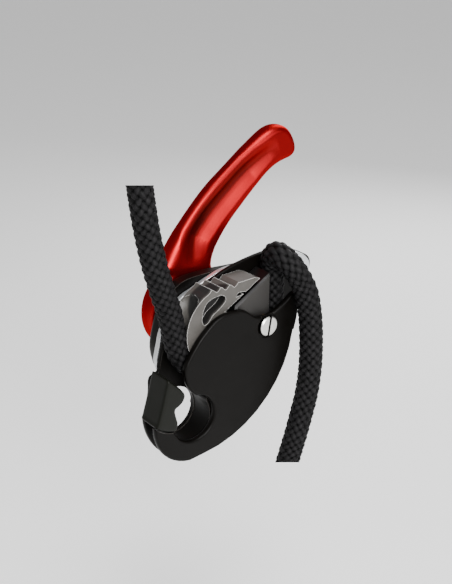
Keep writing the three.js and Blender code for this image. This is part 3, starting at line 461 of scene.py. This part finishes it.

# Nickel-plated screw head: almost white, with a soft turned finish of rings 0.12 mm apart, and painted
# shade that turns it nearly black deeper than 0.6 mm behind its face, so the slot is dark inside.
plated_screw, tree, shader = new_material("nickel_plated_steel", {
    "Metallic": 1.0, "Roughness": 0.34,
})
place = add_node(tree, "ShaderNodeTexCoord")
centred = add_node(tree, "ShaderNodeMapping", {
    "Vector": place.outputs["Object"], "Location": (-PIVOT_AXIS.x, 0, -PIVOT_AXIS.z)})
turned = add_node(tree, "ShaderNodeTexWave", {
    "Vector": centred.outputs["Vector"], "Scale": 1 / (2 * math.pi * 0.12 * MM), "Distortion": 1.0},
    wave_type="RINGS", rings_direction="Y")
raised = add_node(tree, "ShaderNodeBump", {
    "Height": turned.outputs["Fac"], "Strength": 0.15, "Distance": 0.01 * MM})
tree.links.new(raised.outputs["Normal"], shader.inputs["Normal"])
screw_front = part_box("pivot_screw")[0].y
apart = add_node(tree, "ShaderNodeSeparateXYZ", {"Vector": place.outputs["Object"]})
# Painted shade: nearly black deeper than 0.6 mm behind the head's face, inside the slot.
sunk = add_node(tree, "ShaderNodeMapRange", {
    "Value": apart.outputs["Y"], "From Min": screw_front + 0.3 * MM, "From Max": screw_front + 0.6 * MM})
tone = add_node(tree, "ShaderNodeMix", {
    "Factor": sunk.outputs["Result"], 6: linear("#dedcd8"), 7: linear("#1c1b1a")}, data_type="RGBA")
tree.links.new(tone.outputs[2], shader.inputs["Base Color"])
finished_copy("slotted_pivot_screw", "pivot_screw", 30, plated_screw, "frame")

# Gate, its pin and its spring
# A moulded nylon gate that closes the eye's mouth; it turns on a steel pin and a small torsion
# spring in a pocket behind it pushes it shut.

# Moulded nylon: deep black and softly matt, from the spark-eroded grain of its mould, which is
# drawn at 0.4 mm.
moulded_nylon, tree, shader = new_material("moulded_black_nylon", {
    "Base Color": linear("#080905"), "Roughness": 0.4, "IOR": 1.53, "Specular IOR Level": 0.12,
})
place = add_node(tree, "ShaderNodeTexCoord")
fine_grain(tree, shader, place, pitch=0.4 * MM, strength=0.3, depth=0.03 * MM)

GATE_AXIS = Vector((-0.0089, 0, 0.0143))
GATE_GRID = 0.3 * MM
GATE_ROUNDING = 26
GATE_TIP_REACH = 15.5 * MM
GATE_TIP_GROWTH = 0.65 * MM
gate_flap = finished_copy("gate_flap", "gate", 40, moulded_nylon, "gate")
made = bmesh.new()
made.from_mesh(gate_flap.data)
for vert in made.verts:
    reach = math.hypot(vert.co.x - GATE_AXIS.x, vert.co.z - GATE_AXIS.z)
    if reach > GATE_TIP_REACH:
        vert.co.x += (vert.co.x - GATE_AXIS.x) / reach * GATE_TIP_GROWTH
        vert.co.z += (vert.co.z - GATE_AXIS.z) / reach * GATE_TIP_GROWTH
made.to_mesh(gate_flap.data)
made.free()
gate_flap.modifiers.clear()
even_grid = gate_flap.modifiers.new("even_grid", "REMESH")
even_grid.mode = "VOXEL"
even_grid.voxel_size = GATE_GRID
moulded = gate_flap.modifiers.new("moulded_corners", "SMOOTH")
moulded.factor = 0.5
moulded.iterations = GATE_ROUNDING
rounded_gate = gate_flap.evaluated_get(bpy.context.evaluated_depsgraph_get())
gate_mesh = bpy.data.meshes.new_from_object(rounded_gate)
gate_flap.modifiers.clear()
gate_flap.data = gate_mesh
gate_mesh.materials.clear()
gate_mesh.materials.append(moulded_nylon)
gate_mesh.shade_smooth()
finish_node("gate_pin", drawn_steel)


def coil(name, centre, front, back, radius, turns, wire, node):
    """A wire coil about an axis along Y, grown along a spiral."""
    tree = bpy.data.node_groups.new(name, "GeometryNodeTree")
    tree.interface.new_socket("Geometry", in_out="OUTPUT", socket_type="NodeSocketGeometry")
    wanted = {"Coil Radius": radius, "Turns": turns, "Height": back - front, "Wire Radius": wire}
    for label in wanted:
        tree.interface.new_socket(label, in_out="INPUT", socket_type="NodeSocketFloat")
    given = add_node(tree, "NodeGroupInput")
    spiral = add_node(tree, "GeometryNodeCurveSpiral", {
        "Resolution": 48, "Rotations": given.outputs["Turns"], "Start Radius": given.outputs["Coil Radius"],
        "End Radius": given.outputs["Coil Radius"], "Height": given.outputs["Height"]})
    section = add_node(tree, "GeometryNodeCurvePrimitiveCircle", {
        "Resolution": 12, "Radius": given.outputs["Wire Radius"]})
    swept = add_node(tree, "GeometryNodeCurveToMesh", {
        "Curve": spiral.outputs["Curve"], "Profile Curve": section.outputs["Curve"], "Fill Caps": True})
    turned_up = add_node(tree, "GeometryNodeTransform", {
        "Geometry": swept.outputs["Mesh"], "Translation": (centre.x, front, centre.z),
        "Rotation": (math.radians(-90), 0, 0)})
    real = add_node(tree, "GeometryNodeRealizeInstances", {"Geometry": turned_up.outputs["Geometry"]})
    painted = add_node(tree, "GeometryNodeSetMaterial", {
        "Geometry": real.outputs["Geometry"], "Material": drawn_steel})
    add_node(tree, "NodeGroupOutput", {"Geometry": painted.outputs["Geometry"]})
    grown(name, tree, wanted, "frame", [node])


def grown(name, tree, wanted, body, nodes):
    """Runs a Geometry Nodes tree with its named inputs and keeps the result as a plain mesh piece."""
    holder = bpy.data.objects.new(name + "_source", bpy.data.meshes.new(name + "_source"))
    scene.collection.objects.link(holder)
    modifier = holder.modifiers.new(name, "NODES")
    modifier.node_group = tree
    for item in tree.interface.items_tree:
        if item.in_out == "INPUT":
            modifier[item.identifier] = wanted[item.name]
    evaluated = holder.evaluated_get(bpy.context.evaluated_depsgraph_get())
    mesh = bpy.data.meshes.new_from_object(evaluated)
    mesh.name = name
    bpy.data.objects.remove(holder)
    made = bmesh.new()
    made.from_mesh(mesh)
    bmesh.ops.remove_doubles(made, verts=made.verts, dist=0.001 * MM)
    bmesh.ops.recalc_face_normals(made, faces=made.faces)
    made.to_mesh(mesh)
    made.free()
    mesh.shade_smooth()
    mesh.set_sharp_from_angle(angle=math.radians(40))
    piece = bpy.data.objects.new(name, mesh)
    scene.collection.objects.link(piece)
    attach(piece, body)
    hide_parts(*nodes)


GATE_WIRE = 0.35 * MM
GATE_COIL_RADIUS = 2.7 * MM
GATE_COIL_TURNS = 3.0
gate_low, gate_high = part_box("gate_spring")
coil("gate_torsion_spring", GATE_AXIS, gate_low.y + GATE_WIRE, gate_high.y - GATE_WIRE,
     GATE_COIL_RADIUS, GATE_COIL_TURNS, GATE_WIRE, "gate_spring")

# Cam, its bush and the drive pin
# An investment-cast steel cam, shot blasted to a matt grey: teeth along the top, a rope groove
# round the side and a kidney-shaped pocket that makes it lighter.

KIDNEY_MIDDLE = Vector((0.0142, 0, 0.0505))
KIDNEY_REACH = 11.5 * MM

# Shot-blasted casting: matt grey with a fine pitted grain of 0.5 mm, painted shade in its hollows and
# nearly black in the deep pocket, and lighter along every edge.
cast_steel, tree, shader = new_material("shot_blasted_cast_steel", {
    "Metallic": 0.1, "Roughness": 0.5,
})
place = add_node(tree, "ShaderNodeTexCoord")
blotches = add_node(tree, "ShaderNodeTexNoise", {
    "Vector": place.outputs["Object"], "Scale": 1 / (4 * MM), "Detail": 4.0, "Roughness": 0.6})
tone = add_node(tree, "ShaderNodeMix", {
    "Factor": blotches.outputs["Fac"], 6: linear("#35332f"), 7: linear("#4a4744")}, data_type="RGBA")
# Painted shade: darker in the cam's own hollows and nearly black inside the deep pocket.
hollows = add_node(tree, "ShaderNodeAmbientOcclusion", {"Distance": 5 * MM}, samples=8, only_local=True)
out_of_hollow_shade = add_node(tree, "ShaderNodeMapRange", {
    "Value": hollows.outputs["AO"], "From Min": 0.35, "From Max": 0.8})
faces = add_node(tree, "ShaderNodeNewGeometry")
apart = add_node(tree, "ShaderNodeSeparateXYZ", {"Vector": place.outputs["Object"]})
cam_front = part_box("cam")[0].y
inward = add_node(tree, "ShaderNodeMapRange", {
    "Value": apart.outputs["Y"], "From Min": cam_front + 0.3 * MM, "From Max": cam_front + 1.6 * MM})
from_pocket = add_node(tree, "ShaderNodeVectorMath", {
    0: place.outputs["Object"], 1: (KIDNEY_MIDDLE.x, cam_front, KIDNEY_MIDDLE.z)}, operation="DISTANCE")
near_pocket = add_node(tree, "ShaderNodeMapRange", {
    "Value": from_pocket.outputs["Value"], "From Min": KIDNEY_REACH, "From Max": KIDNEY_REACH + 1 * MM,
    "To Min": 1.0, "To Max": 0.0})
deep_pocket_shade = add_node(tree, "ShaderNodeMath", {
    0: near_pocket.outputs["Result"], 1: inward.outputs["Result"]}, operation="MULTIPLY")
out_of_pocket = add_node(tree, "ShaderNodeMath", {
    0: 1.0, 1: deep_pocket_shade.outputs["Value"]}, operation="SUBTRACT")
unshaded = add_node(tree, "ShaderNodeMath", {
    0: out_of_hollow_shade.outputs["Result"], 1: out_of_pocket.outputs["Value"]}, operation="MULTIPLY")
tone = add_node(tree, "ShaderNodeMix", {
    "Factor": unshaded.outputs["Value"], 6: linear("#100f0e"), 7: tone.outputs[2]}, data_type="RGBA")
# The colour turns light grey along every edge.
softened = add_node(tree, "ShaderNodeBevel", {"Radius": 0.3 * MM}, samples=6)
turned = add_node(tree, "ShaderNodeVectorMath", {
    0: softened.outputs["Normal"], 1: faces.outputs["Normal"]}, operation="DOT_PRODUCT")
lightened = add_node(tree, "ShaderNodeMapRange", {
    "Value": turned.outputs["Value"], "From Min": 0.985, "From Max": 0.9})
tone = add_node(tree, "ShaderNodeMix", {
    "Factor": lightened.outputs["Result"], 6: tone.outputs[2], 7: linear("#c9c7c4")}, data_type="RGBA")
tree.links.new(tone.outputs[2], shader.inputs["Base Color"])
shot = add_node(tree, "ShaderNodeTexVoronoi", {
    "Vector": place.outputs["Object"], "Scale": 1 / (0.5 * MM)})
raised = add_node(tree, "ShaderNodeBump", {
    "Height": shot.outputs["Distance"], "Strength": 0.35, "Distance": 0.05 * MM})
tree.links.new(raised.outputs["Normal"], shader.inputs["Normal"])
finished_copy("toothed_cam", "cam", 28, cast_steel, "cam")
finish_node("drive_pin", drawn_steel)

# Sintered bronze: oil-filled, so dull and brown, with pores of about 0.05 mm drawn at 0.3 mm.
sintered_bronze, tree, shader = new_material("sintered_bronze", {
    "Base Color": linear("#8d6b3f"), "Metallic": 1.0, "Roughness": 0.45,
})
place = add_node(tree, "ShaderNodeTexCoord")
fine_grain(tree, shader, place, pitch=0.3 * MM, strength=0.3, depth=0.03 * MM)
finish_node("cam_bush", sintered_bronze)

# Cam axle
# A turned and blackened steel axle. Its flat head is sunk into the cam's face, and it runs back
# through the plates and the housing to the lever.

finish_node("cam_axle", blackened_steel)

# Steel plate
# A stainless plate, cut and ground, clamped between the aluminium one and the housing. Its edge
# shows as a bright strip along the body.

finished_copy("steel_side_plate", "steel_plate", 50, ground_steel, "frame")

# Rear housing and its screws
# A machined aluminium cover with a broad rounded rim, black anodised like the side plates, and
# held by three socket screws.

finished_copy("rear_cover", "rear_housing", 50, black_anodised, "frame")

SCREW_HEAD_RADIUS = 2.6 * MM
SCREW_HEAD_HEIGHT = 1.5 * MM
SCREW_HEAD_SIDES = 36
SCREW_TURN = 0.4
SOCKET_REACH = 0.5
SOCKET_FLOOR = 0.35
screw_seats = []
for number in (1, 2, 3):
    low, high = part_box(f"housing_screw_{number}")
    screw_seats.append(((low.x + high.x) / 2, low.y, (low.z + high.z) / 2))
seat_mesh = bpy.data.meshes.new("cover_screw_seats")
seat_mesh.from_pydata(screw_seats, [], [])


def socket_head(radius, height):
    """A cap screw's head along +Y from the origin: plain, chamfered, with a hexagon socket.

    The profile gives shares of the radius and of the height.
    """
    profile = [(0.94, 0), (1, 0.06), (1, 0.86), (0.9, 1), (0.58, 1)]
    made = bmesh.new()
    turns = [2 * math.pi * k / SCREW_HEAD_SIDES for k in range(SCREW_HEAD_SIDES)]
    rings = []
    for share, up in profile:
        rings.append([
            made.verts.new((
                math.cos(turn) * share * radius, up * height, math.sin(turn) * share * radius))
            for turn in turns])
    for depth in (1.0, SOCKET_FLOOR):
        ring = []
        for turn in turns:
            flat = math.cos(math.radians(30)) / math.cos((turn % math.radians(60)) - math.radians(30))
            reach = SOCKET_REACH * radius * flat
            ring.append(made.verts.new((math.cos(turn) * reach, depth * height, math.sin(turn) * reach)))
        rings.append(ring)
    for inner, outer in zip(rings, rings[1:]):
        for k in range(SCREW_HEAD_SIDES):
            after = (k + 1) % SCREW_HEAD_SIDES
            made.faces.new((inner[k], inner[after], outer[after], outer[k]))
    made.faces.new(rings[0][::-1])
    made.faces.new(rings[-1])
    bmesh.ops.recalc_face_normals(made, faces=made.faces)
    mesh = bpy.data.meshes.new("socket_head")
    made.to_mesh(mesh)
    made.free()
    return mesh


head_object = bpy.data.objects.new("socket_head_source", socket_head(SCREW_HEAD_RADIUS, SCREW_HEAD_HEIGHT))
scene.collection.objects.link(head_object)
screw_tree = bpy.data.node_groups.new("cover_screws", "GeometryNodeTree")
screw_tree.interface.new_socket("Geometry", in_out="OUTPUT", socket_type="NodeSocketGeometry")
screw_tree.interface.new_socket("Seats", in_out="INPUT", socket_type="NodeSocketObject")
screw_tree.interface.new_socket("Head", in_out="INPUT", socket_type="NodeSocketObject")
screw_tree.interface.new_socket("Turn", in_out="INPUT", socket_type="NodeSocketFloat")
given = add_node(screw_tree, "NodeGroupInput")
seats = add_node(screw_tree, "GeometryNodeObjectInfo", {"Object": given.outputs["Seats"]})
head = add_node(screw_tree, "GeometryNodeObjectInfo", {"Object": given.outputs["Head"]})
screw_number = add_node(screw_tree, "GeometryNodeInputIndex")
angle = add_node(screw_tree, "ShaderNodeMath", {
    0: screw_number.outputs["Index"], 1: given.outputs["Turn"]}, operation="MULTIPLY")
about_y = add_node(screw_tree, "ShaderNodeCombineXYZ", {"Y": angle.outputs["Value"]})
placed = add_node(screw_tree, "GeometryNodeInstanceOnPoints", {
    "Points": seats.outputs["Geometry"], "Instance": head.outputs["Geometry"],
    "Rotation": about_y.outputs["Vector"]})
real = add_node(screw_tree, "GeometryNodeRealizeInstances", {"Geometry": placed.outputs["Instances"]})
painted = add_node(screw_tree, "GeometryNodeSetMaterial", {
    "Geometry": real.outputs["Geometry"], "Material": blackened_steel})
add_node(screw_tree, "NodeGroupOutput", {"Geometry": painted.outputs["Geometry"]})
seat_object = bpy.data.objects.new("cover_screw_seats", seat_mesh)
scene.collection.objects.link(seat_object)
screw_inputs = {"Seats": seat_object, "Head": head_object, "Turn": SCREW_TURN}
grown("cover_screws", screw_tree, screw_inputs, "frame",
      ["housing_screw_1", "housing_screw_2", "housing_screw_3"])
bpy.data.objects.remove(seat_object)
bpy.data.objects.remove(head_object)

# Return spring
# A torsion spring, wound from drawn steel wire round the axle, that brings the lever back to where
# the cam locks.

RETURN_WIRE = 0.5 * MM
RETURN_COIL_RADIUS = 6.4 * MM
RETURN_COIL_TURNS = 2.5
spring_low, spring_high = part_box("return_spring")
coil("lever_return_spring", CAM_AXIS, spring_low.y + RETURN_WIRE, spring_high.y - RETURN_WIRE,
     RETURN_COIL_RADIUS, RETURN_COIL_TURNS, RETURN_WIRE, "return_spring")

# Lever, its bush, washer and screw
# A forged aluminium lever, red anodised, with a long valley down each face. It turns on a
# bronze bush and a washer and screw keep it on the axle.

# Red anodising: dyed oxide over bright metal, so it glows where the light strikes, with painted shade
# of a deep red brown in the valley. Its blasted grain is below 0.1 mm and is drawn at 0.35 mm.
red_anodised, tree, shader = new_material("red_anodised_aluminium", {
    "Metallic": 0.95, "Roughness": 0.37, "Specular Tint": linear("#dc7474"),
})
place = add_node(tree, "ShaderNodeTexCoord")
# Painted shade: the colour falls to a deep red brown in the valley.
in_valley = add_node(tree, "ShaderNodeAttribute", attribute_name="painted_valley_shade")
tone = add_node(tree, "ShaderNodeMix", {
    "Factor": in_valley.outputs["Fac"], 6: linear("#871317"), 7: linear("#4f1a17")}, data_type="RGBA")
tree.links.new(tone.outputs[2], shader.inputs["Base Color"])
cloud = add_node(tree, "ShaderNodeTexNoise", {
    "Vector": place.outputs["Object"], "Scale": 1 / (7 * MM), "Detail": 3.0})
uneven_gloss(tree, shader, cloud, smooth=0.34, rough=0.41)
fine_grain(tree, shader, place, pitch=0.35 * MM, strength=0.2, depth=0.02 * MM)

LEVER_FRONT = 20.7 * MM
LEVER_THICKNESS = 11 * MM
LEVER_ROUND_ACROSS = 5.2 * MM
LEVER_ROUND_DEEP = 4.6 * MM
LEVER_HUB = 21.5 * MM
LEVER_BORE = 5.6 * MM
LEVER_GRID = 0.5 * MM
LEVER_HUB_STEPS = 90
PIN_ORBIT = 10.3 * MM
PIN_ROOM = 2.2 * MM
PIN_SLOT_DEPTH = 3.67 * MM
PIN_SLOT_ANGLES = (math.radians(-9.7), math.radians(101.7))
ARM_STEP = 0.7 * MM
ARM_STEP_FROM = 20 * MM
ARM_STEP_WIDTH = 14 * MM
LEVER_RIGHT_ROUND = 3.4 * MM
BACK_VALLEY_SHARE = 0.6
LEVER_TIP_ROUND = 3.0 * MM
LEVER_TIP_FROM = 60 * MM
LEVER_TIP_TO = 76 * MM
VALLEY_DEPTH = 3.3 * MM
VALLEY_LEFT_WIDTH = 5.2 * MM
VALLEY_FLOOR_WIDTH = 4.4 * MM
VALLEY_RIGHT_WIDTH = 12.4 * MM
VALLEY_CREASE_SHARE = 0.55
SHADE_CREASE_EDGE = 0.5 * MM
SHADE_REACH = 1.7 * VALLEY_FLOOR_WIDTH

# The arm's edge from the hub's left round the tip to the hub's right, and the valley's crease, in mm.
arm_edge = (
    (6, 61.5), (12.1, 70.8), (17.7, 77.8), (26.2, 86.9), (34.8, 94.6), (46.1, 102.7), (58.4, 111),
    (70, 117.3), (76.4, 117.9), (80.8, 116.3), (84, 112.7), (86.3, 107.2), (86, 103.6), (83.4, 101.3),
    (79.1, 100.3), (74.9, 99.2), (69.4, 96.4), (62.4, 90.9), (53.9, 83.4), (45.5, 75.4), (39.1, 67.4),
    (35.9, 61.4), (35, 57.5), (35.9, 53.6), (37.7, 49.6),
)
valley_line = (
    (18.6, 60), (19.5, 66), (22.3, 75.3), (29.6, 84.2), (40.8, 93.3), (53, 102.2), (64.5, 108), (73.5, 110.8),
)


def in_plane(points):
    """Points in mm on the lever's own plane, as one smooth run of (x, z) in metres."""
    run, _ = smooth_route([Vector((x, 0, z)) * MM for x, z in points], 1.0 * MM)
    return run[:, (0, 2)]


def nearest_on_line(places, line):
    """For each place: distance to a line, which side of it, and how far along, from 0 to 1."""
    starts, ends = line[:-1], line[1:]
    spans = ends - starts
    lengths = np.sum(spans ** 2, axis=1)
    best = np.full(len(places), np.inf)
    side = np.zeros(len(places))
    along = np.zeros(len(places))
    for number, (start, span, length) in enumerate(zip(starts, spans, lengths)):
        offset = places - start
        share = np.clip(offset @ span / length, 0, 1)
        gap = offset - share[:, None] * span
        distance = np.hypot(gap[:, 0], gap[:, 1])
        nearer = distance < best
        best[nearer] = distance[nearer]
        side[nearer] = np.sign(span[0] * gap[nearer, 1] - span[1] * gap[nearer, 0])
        along[nearer] = (number + share[nearer]) / len(spans)
    return best, side, along


def inside_outline(places, ring):
    """True where a place lies inside a closed outline."""
    crossings = np.zeros(len(places), int)
    for (ax, az), (bx, bz) in zip(ring, np.roll(ring, -1, axis=0)):
        spans = (az > places[:, 1]) != (bz > places[:, 1])
        with np.errstate(divide="ignore", invalid="ignore"):
            reach = ax + (places[:, 1] - az) / (bz - az) * (bx - ax)
        crossings += spans & (places[:, 0] < reach)
    return crossings % 2 == 1


def skin_of(field, origin, step):
    """The closed quad skin where a sampled field crosses zero, one vertex to each cell it cuts."""
    corners = [(i, j, k) for i in (0, 1) for j in (0, 1) for k in (0, 1)]
    shape = np.array(field.shape) - 1
    values = np.stack([
        field[i:shape[0] + i, j:shape[1] + j, k:shape[2] + k] for i, j, k in corners], axis=-1)
    below = values < 0
    cut = below.any(-1) & ~below.all(-1)
    cells = np.argwhere(cut)
    values = values[cut]
    total = np.zeros((len(cells), 3))
    count = np.zeros(len(cells))
    for a, first in enumerate(corners):
        for b, second in enumerate(corners):
            if b <= a or sum(abs(np.subtract(first, second))) != 1:
                continue
            crossed = (values[:, a] < 0) != (values[:, b] < 0)
            share = np.where(crossed, values[:, a] / (values[:, a] - values[:, b] + ~crossed), 0)
            points = np.array(first) + share[:, None] * (np.array(second) - np.array(first))
            total += np.where(crossed[:, None], points, 0)
            count += crossed
    verts = origin + (cells + total / count[:, None]) * step
    number = np.full(cut.shape, -1)
    number[cut] = np.arange(len(cells))
    faces = []
    for axis in range(3):
        u, v = (axis + 1) % 3, (axis + 2) % 3
        low = np.take(field, range(field.shape[axis] - 1), axis=axis) < 0
        high = np.take(field, range(1, field.shape[axis]), axis=axis) < 0
        for place in np.argwhere(low != high):
            quad = []
            for du, dv in ((0, 0), (-1, 0), (-1, -1), (0, -1)):
                cell = place.copy()
                cell[u] += du
                cell[v] += dv
                quad.append(int(number[tuple(cell)]))
            faces.append(quad if low[tuple(place)] else quad[::-1])
    return verts, faces


# The lever is a field on a grid: its outline, rounded edges, valley, bore and pin slot together.
arm_run = in_plane(arm_edge)
hub_turns = np.linspace(
    math.atan2(arm_run[-1][1] - CAM_AXIS.z, arm_run[-1][0] - CAM_AXIS.x),
    math.atan2(arm_run[0][1] - CAM_AXIS.z, arm_run[0][0] - CAM_AXIS.x) - 2 * math.pi,
    LEVER_HUB_STEPS)
hub_run = np.stack([
    CAM_AXIS.x + LEVER_HUB * np.cos(hub_turns), CAM_AXIS.z + LEVER_HUB * np.sin(hub_turns)], axis=1)
lever_outline = np.concatenate([arm_run, hub_run])
margin = 3 * LEVER_GRID
lever_low = np.array([lever_outline[:, 0].min(), LEVER_FRONT, lever_outline[:, 1].min()]) - margin
lever_high = np.array([
    lever_outline[:, 0].max(), LEVER_FRONT + LEVER_THICKNESS, lever_outline[:, 1].max()]) + margin
across = [np.arange(lever_low[k], lever_high[k], LEVER_GRID) for k in range(3)]
plane_x, plane_z = np.meshgrid(across[0], across[2], indexing="ij")
plane = np.stack([plane_x.ravel(), plane_z.ravel()], axis=1)
edge_distance, _, _ = nearest_on_line(plane, np.concatenate([lever_outline, lever_outline[:1]]))
edge_distance = np.where(inside_outline(plane, lever_outline), -edge_distance, edge_distance)

# The valley: a steep wall on the left of the crease, and a flat floor that climbs on its right.
valley_distance, valley_side, valley_along = nearest_on_line(plane, in_plane(valley_line))
depth_along = np.interp(valley_along, [0, 0.06, 0.2, 0.5, 0.75, 0.92, 1], [0, 0.3, 0.95, 1, 0.9, 0.45, 0])
width_along = np.interp(valley_along, [0, 0.3, 0.75, 1], [0.85, 1, 0.85, 0.5])
left_wall = VALLEY_CREASE_SHARE * np.clip(1 - valley_distance / (VALLEY_LEFT_WIDTH * width_along), 0, 1)
right_places = np.array([0, 0.4, 0.85, 1.1, 1.35, 1.7, 2.4, VALLEY_RIGHT_WIDTH / VALLEY_FLOOR_WIDTH])
right_depths = np.array([VALLEY_CREASE_SHARE, 0.82, 0.98, 1.0, 0.92, 0.72, 0.26, 0])
right_wall = np.interp(valley_distance / (VALLEY_FLOOR_WIDTH * width_along), right_places, right_depths)
valley = VALLEY_DEPTH * depth_along * np.where(valley_side > 0, left_wall, right_wall)

# The thickness: the arm's front lies a little behind the hub's, and the edges turn over softly,
# less so at the tip and along the right.
edge_grid = edge_distance.reshape(plane_x.shape)[:, None, :]
valley_grid = valley.reshape(plane_x.shape)[:, None, :]
height = np.abs(across[1] - LEVER_FRONT - LEVER_THICKNESS / 2)[None, :, None]
from_axis = np.hypot(plane_x - CAM_AXIS.x, plane_z - CAM_AXIS.z)[:, None, :]
step_share = np.clip((from_axis - ARM_STEP_FROM) / ARM_STEP_WIDTH, 0, 1)
on_front = across[1][None, :, None] < LEVER_FRONT + LEVER_THICKNESS / 2
arm_drop = ARM_STEP * step_share ** 2 * (3 - 2 * step_share)
sunk_grid = np.where(on_front, valley_grid + arm_drop, BACK_VALLEY_SHARE * valley_grid)
tip_share = np.clip((plane_x[:, None, :] - LEVER_TIP_FROM) / (LEVER_TIP_TO - LEVER_TIP_FROM), 0, 1)
right_of_crease = -(valley_side * valley_distance).reshape(plane_x.shape)[:, None, :]
to_right = np.clip(right_of_crease / VALLEY_LEFT_WIDTH, 0, 1)
round_across = LEVER_ROUND_ACROSS + (LEVER_RIGHT_ROUND - LEVER_ROUND_ACROSS) * to_right * step_share
round_across = round_across + (LEVER_TIP_ROUND - round_across) * tip_share
past_edge = np.maximum(edge_grid + round_across + 0 * height, 0) / round_across
past_face = np.maximum(height - LEVER_THICKNESS / 2 + LEVER_ROUND_DEEP + sunk_grid, 0) / LEVER_ROUND_DEEP
lever_field = LEVER_ROUND_DEEP * (np.hypot(past_edge, past_face) - 1)

# The bore, and the curved slot in front that the cam's pin runs in.
turn_about = np.arctan2(plane_z - CAM_AXIS.z, plane_x - CAM_AXIS.x)[:, None, :]
slot_middle = sum(PIN_SLOT_ANGLES) / 2
slot_half = (PIN_SLOT_ANGLES[1] - PIN_SLOT_ANGLES[0]) / 2
slot_ends = from_axis * (np.abs(turn_about - slot_middle) - slot_half)
slot = np.maximum(np.abs(from_axis - PIN_ORBIT) - PIN_ROOM, slot_ends)
slot = np.maximum(slot, across[1][None, :, None] - LEVER_FRONT - PIN_SLOT_DEPTH)
lever_field = np.maximum(np.maximum(lever_field, LEVER_BORE - from_axis), -slot)
lever_verts, lever_faces = skin_of(lever_field, lever_low, LEVER_GRID)
lever_mesh = bpy.data.meshes.new("release_lever")
lever_mesh.from_pydata(lever_verts.tolist(), [], lever_faces)
lever_mesh.materials.append(red_anodised)

# The share of painted shade at each place, from 0 to 1, by which the material darkens in the valley.
from_crease, crease_side, share_up = nearest_on_line(lever_verts[:, (0, 2)], in_plane(valley_line))
past_crease = -crease_side * from_crease
shade_places = [-VALLEY_LEFT_WIDTH, -SHADE_CREASE_EDGE, 0, VALLEY_FLOOR_WIDTH, SHADE_REACH]
floor_shade = np.interp(past_crease, shade_places, [0, 0.45, 0.9, 0.75, 0])
floor_shade *= np.interp(share_up, [0, 0.1, 0.3, 0.7, 1], [0, 0.3, 1, 0.9, 0])
floor_shade *= lever_verts[:, 1] < LEVER_FRONT + LEVER_THICKNESS / 2
lever_mesh.attributes.new("painted_valley_shade", "FLOAT", "POINT").data.foreach_set("value", floor_shade)

lever_mesh.shade_smooth()
lever = bpy.data.objects.new("release_lever", lever_mesh)
scene.collection.objects.link(lever)
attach(lever, "handle")
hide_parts("handle")
finish_node("handle_bush", sintered_bronze)
finish_node("handle_washer", ground_steel)
finish_node("handle_screw", blackened_steel)

# Front plate and its bush
# The black anodised plate that swings aside to let the rope in; its hook closes the eye's front
# and the pivot screw sits in a counterbore.

finished_copy(
    "front_side_plate", "front_plate", 50, black_anodised, "side_plate")
finish_node("plate_bush", sintered_bronze)

# Floor and lights
# A plain pale floor of studio paper, well below the hanging part, that curves up into a wall far
# off, with soft boxes round the part.

FLOOR_DROP = 0.16
FLOOR_FLAT = 3.0
SWEEP_RADIUS = 2.0
SWEEP_STEPS = 12
SWEEP_SIDES = 96
sweep = [(FLOOR_FLAT / 2, 0.0)] + [
    (FLOOR_FLAT + SWEEP_RADIUS * math.sin(turn), SWEEP_RADIUS * (1 - math.cos(turn)))
    for turn in np.linspace(0, math.pi / 2, SWEEP_STEPS)
]
rings = [
    [(math.cos(turn) * out, math.sin(turn) * out, up - FLOOR_DROP)
     for turn in np.linspace(0, 2 * math.pi, SWEEP_SIDES, endpoint=False)]
    for out, up in sweep
]
floor_faces = [tuple(range(SWEEP_SIDES))]
for low in range(0, SWEEP_STEPS * SWEEP_SIDES, SWEEP_SIDES):
    for side in range(SWEEP_SIDES):
        after = low + (side + 1) % SWEEP_SIDES
        floor_faces.append((low + side, low + SWEEP_SIDES + side, SWEEP_SIDES + after, after))
floor_mesh = bpy.data.meshes.new("floor")
floor_mesh.from_pydata([place for ring in rings for place in ring], [], floor_faces)
floor_mesh.shade_smooth()
floor = bpy.data.objects.new("floor", floor_mesh)
scene.collection.objects.link(floor)
floor_paint, tree, shader = new_material("white_studio_paper", {
    "Base Color": linear("#d6d6d6"), "Roughness": 0.9, "Emission Color": linear("#ffffff"),
    "Emission Strength": 0.35,
})
floor_mesh.materials.append(floor_paint)

world = bpy.data.worlds.new("studio")
world.use_nodes = True
world.node_tree.nodes["Background"].inputs["Color"].default_value = linear("#ffffff")
world.node_tree.nodes["Background"].inputs["Strength"].default_value = 0.35
scene.world = world


def soft_light(name, power, width, height, place):
    """A rectangular soft box that faces the middle of the part."""
    data = bpy.data.lights.new(name, "AREA")
    data.shape = "RECTANGLE"
    data.size = width
    data.size_y = height
    data.energy = power
    light = bpy.data.objects.new(name, data)
    light.location = place
    light.rotation_euler = (Vector(place) - view_centre).to_track_quat("Z", "Y").to_euler()
    scene.collection.objects.link(light)


soft_light("key_light", power=20.0, width=0.4, height=0.45, place=(-0.3, -0.86, 0.5))
soft_light("fill_light", power=2.5, width=0.4, height=0.45, place=(0.35, -0.85, 0.45))
soft_light("top_light", power=9.0, width=0.4, height=0.4, place=(0.0, -0.3, 0.95))
soft_light("rim_light", power=5.0, width=0.3, height=0.7, place=(0.6, 0.35, 0.4))
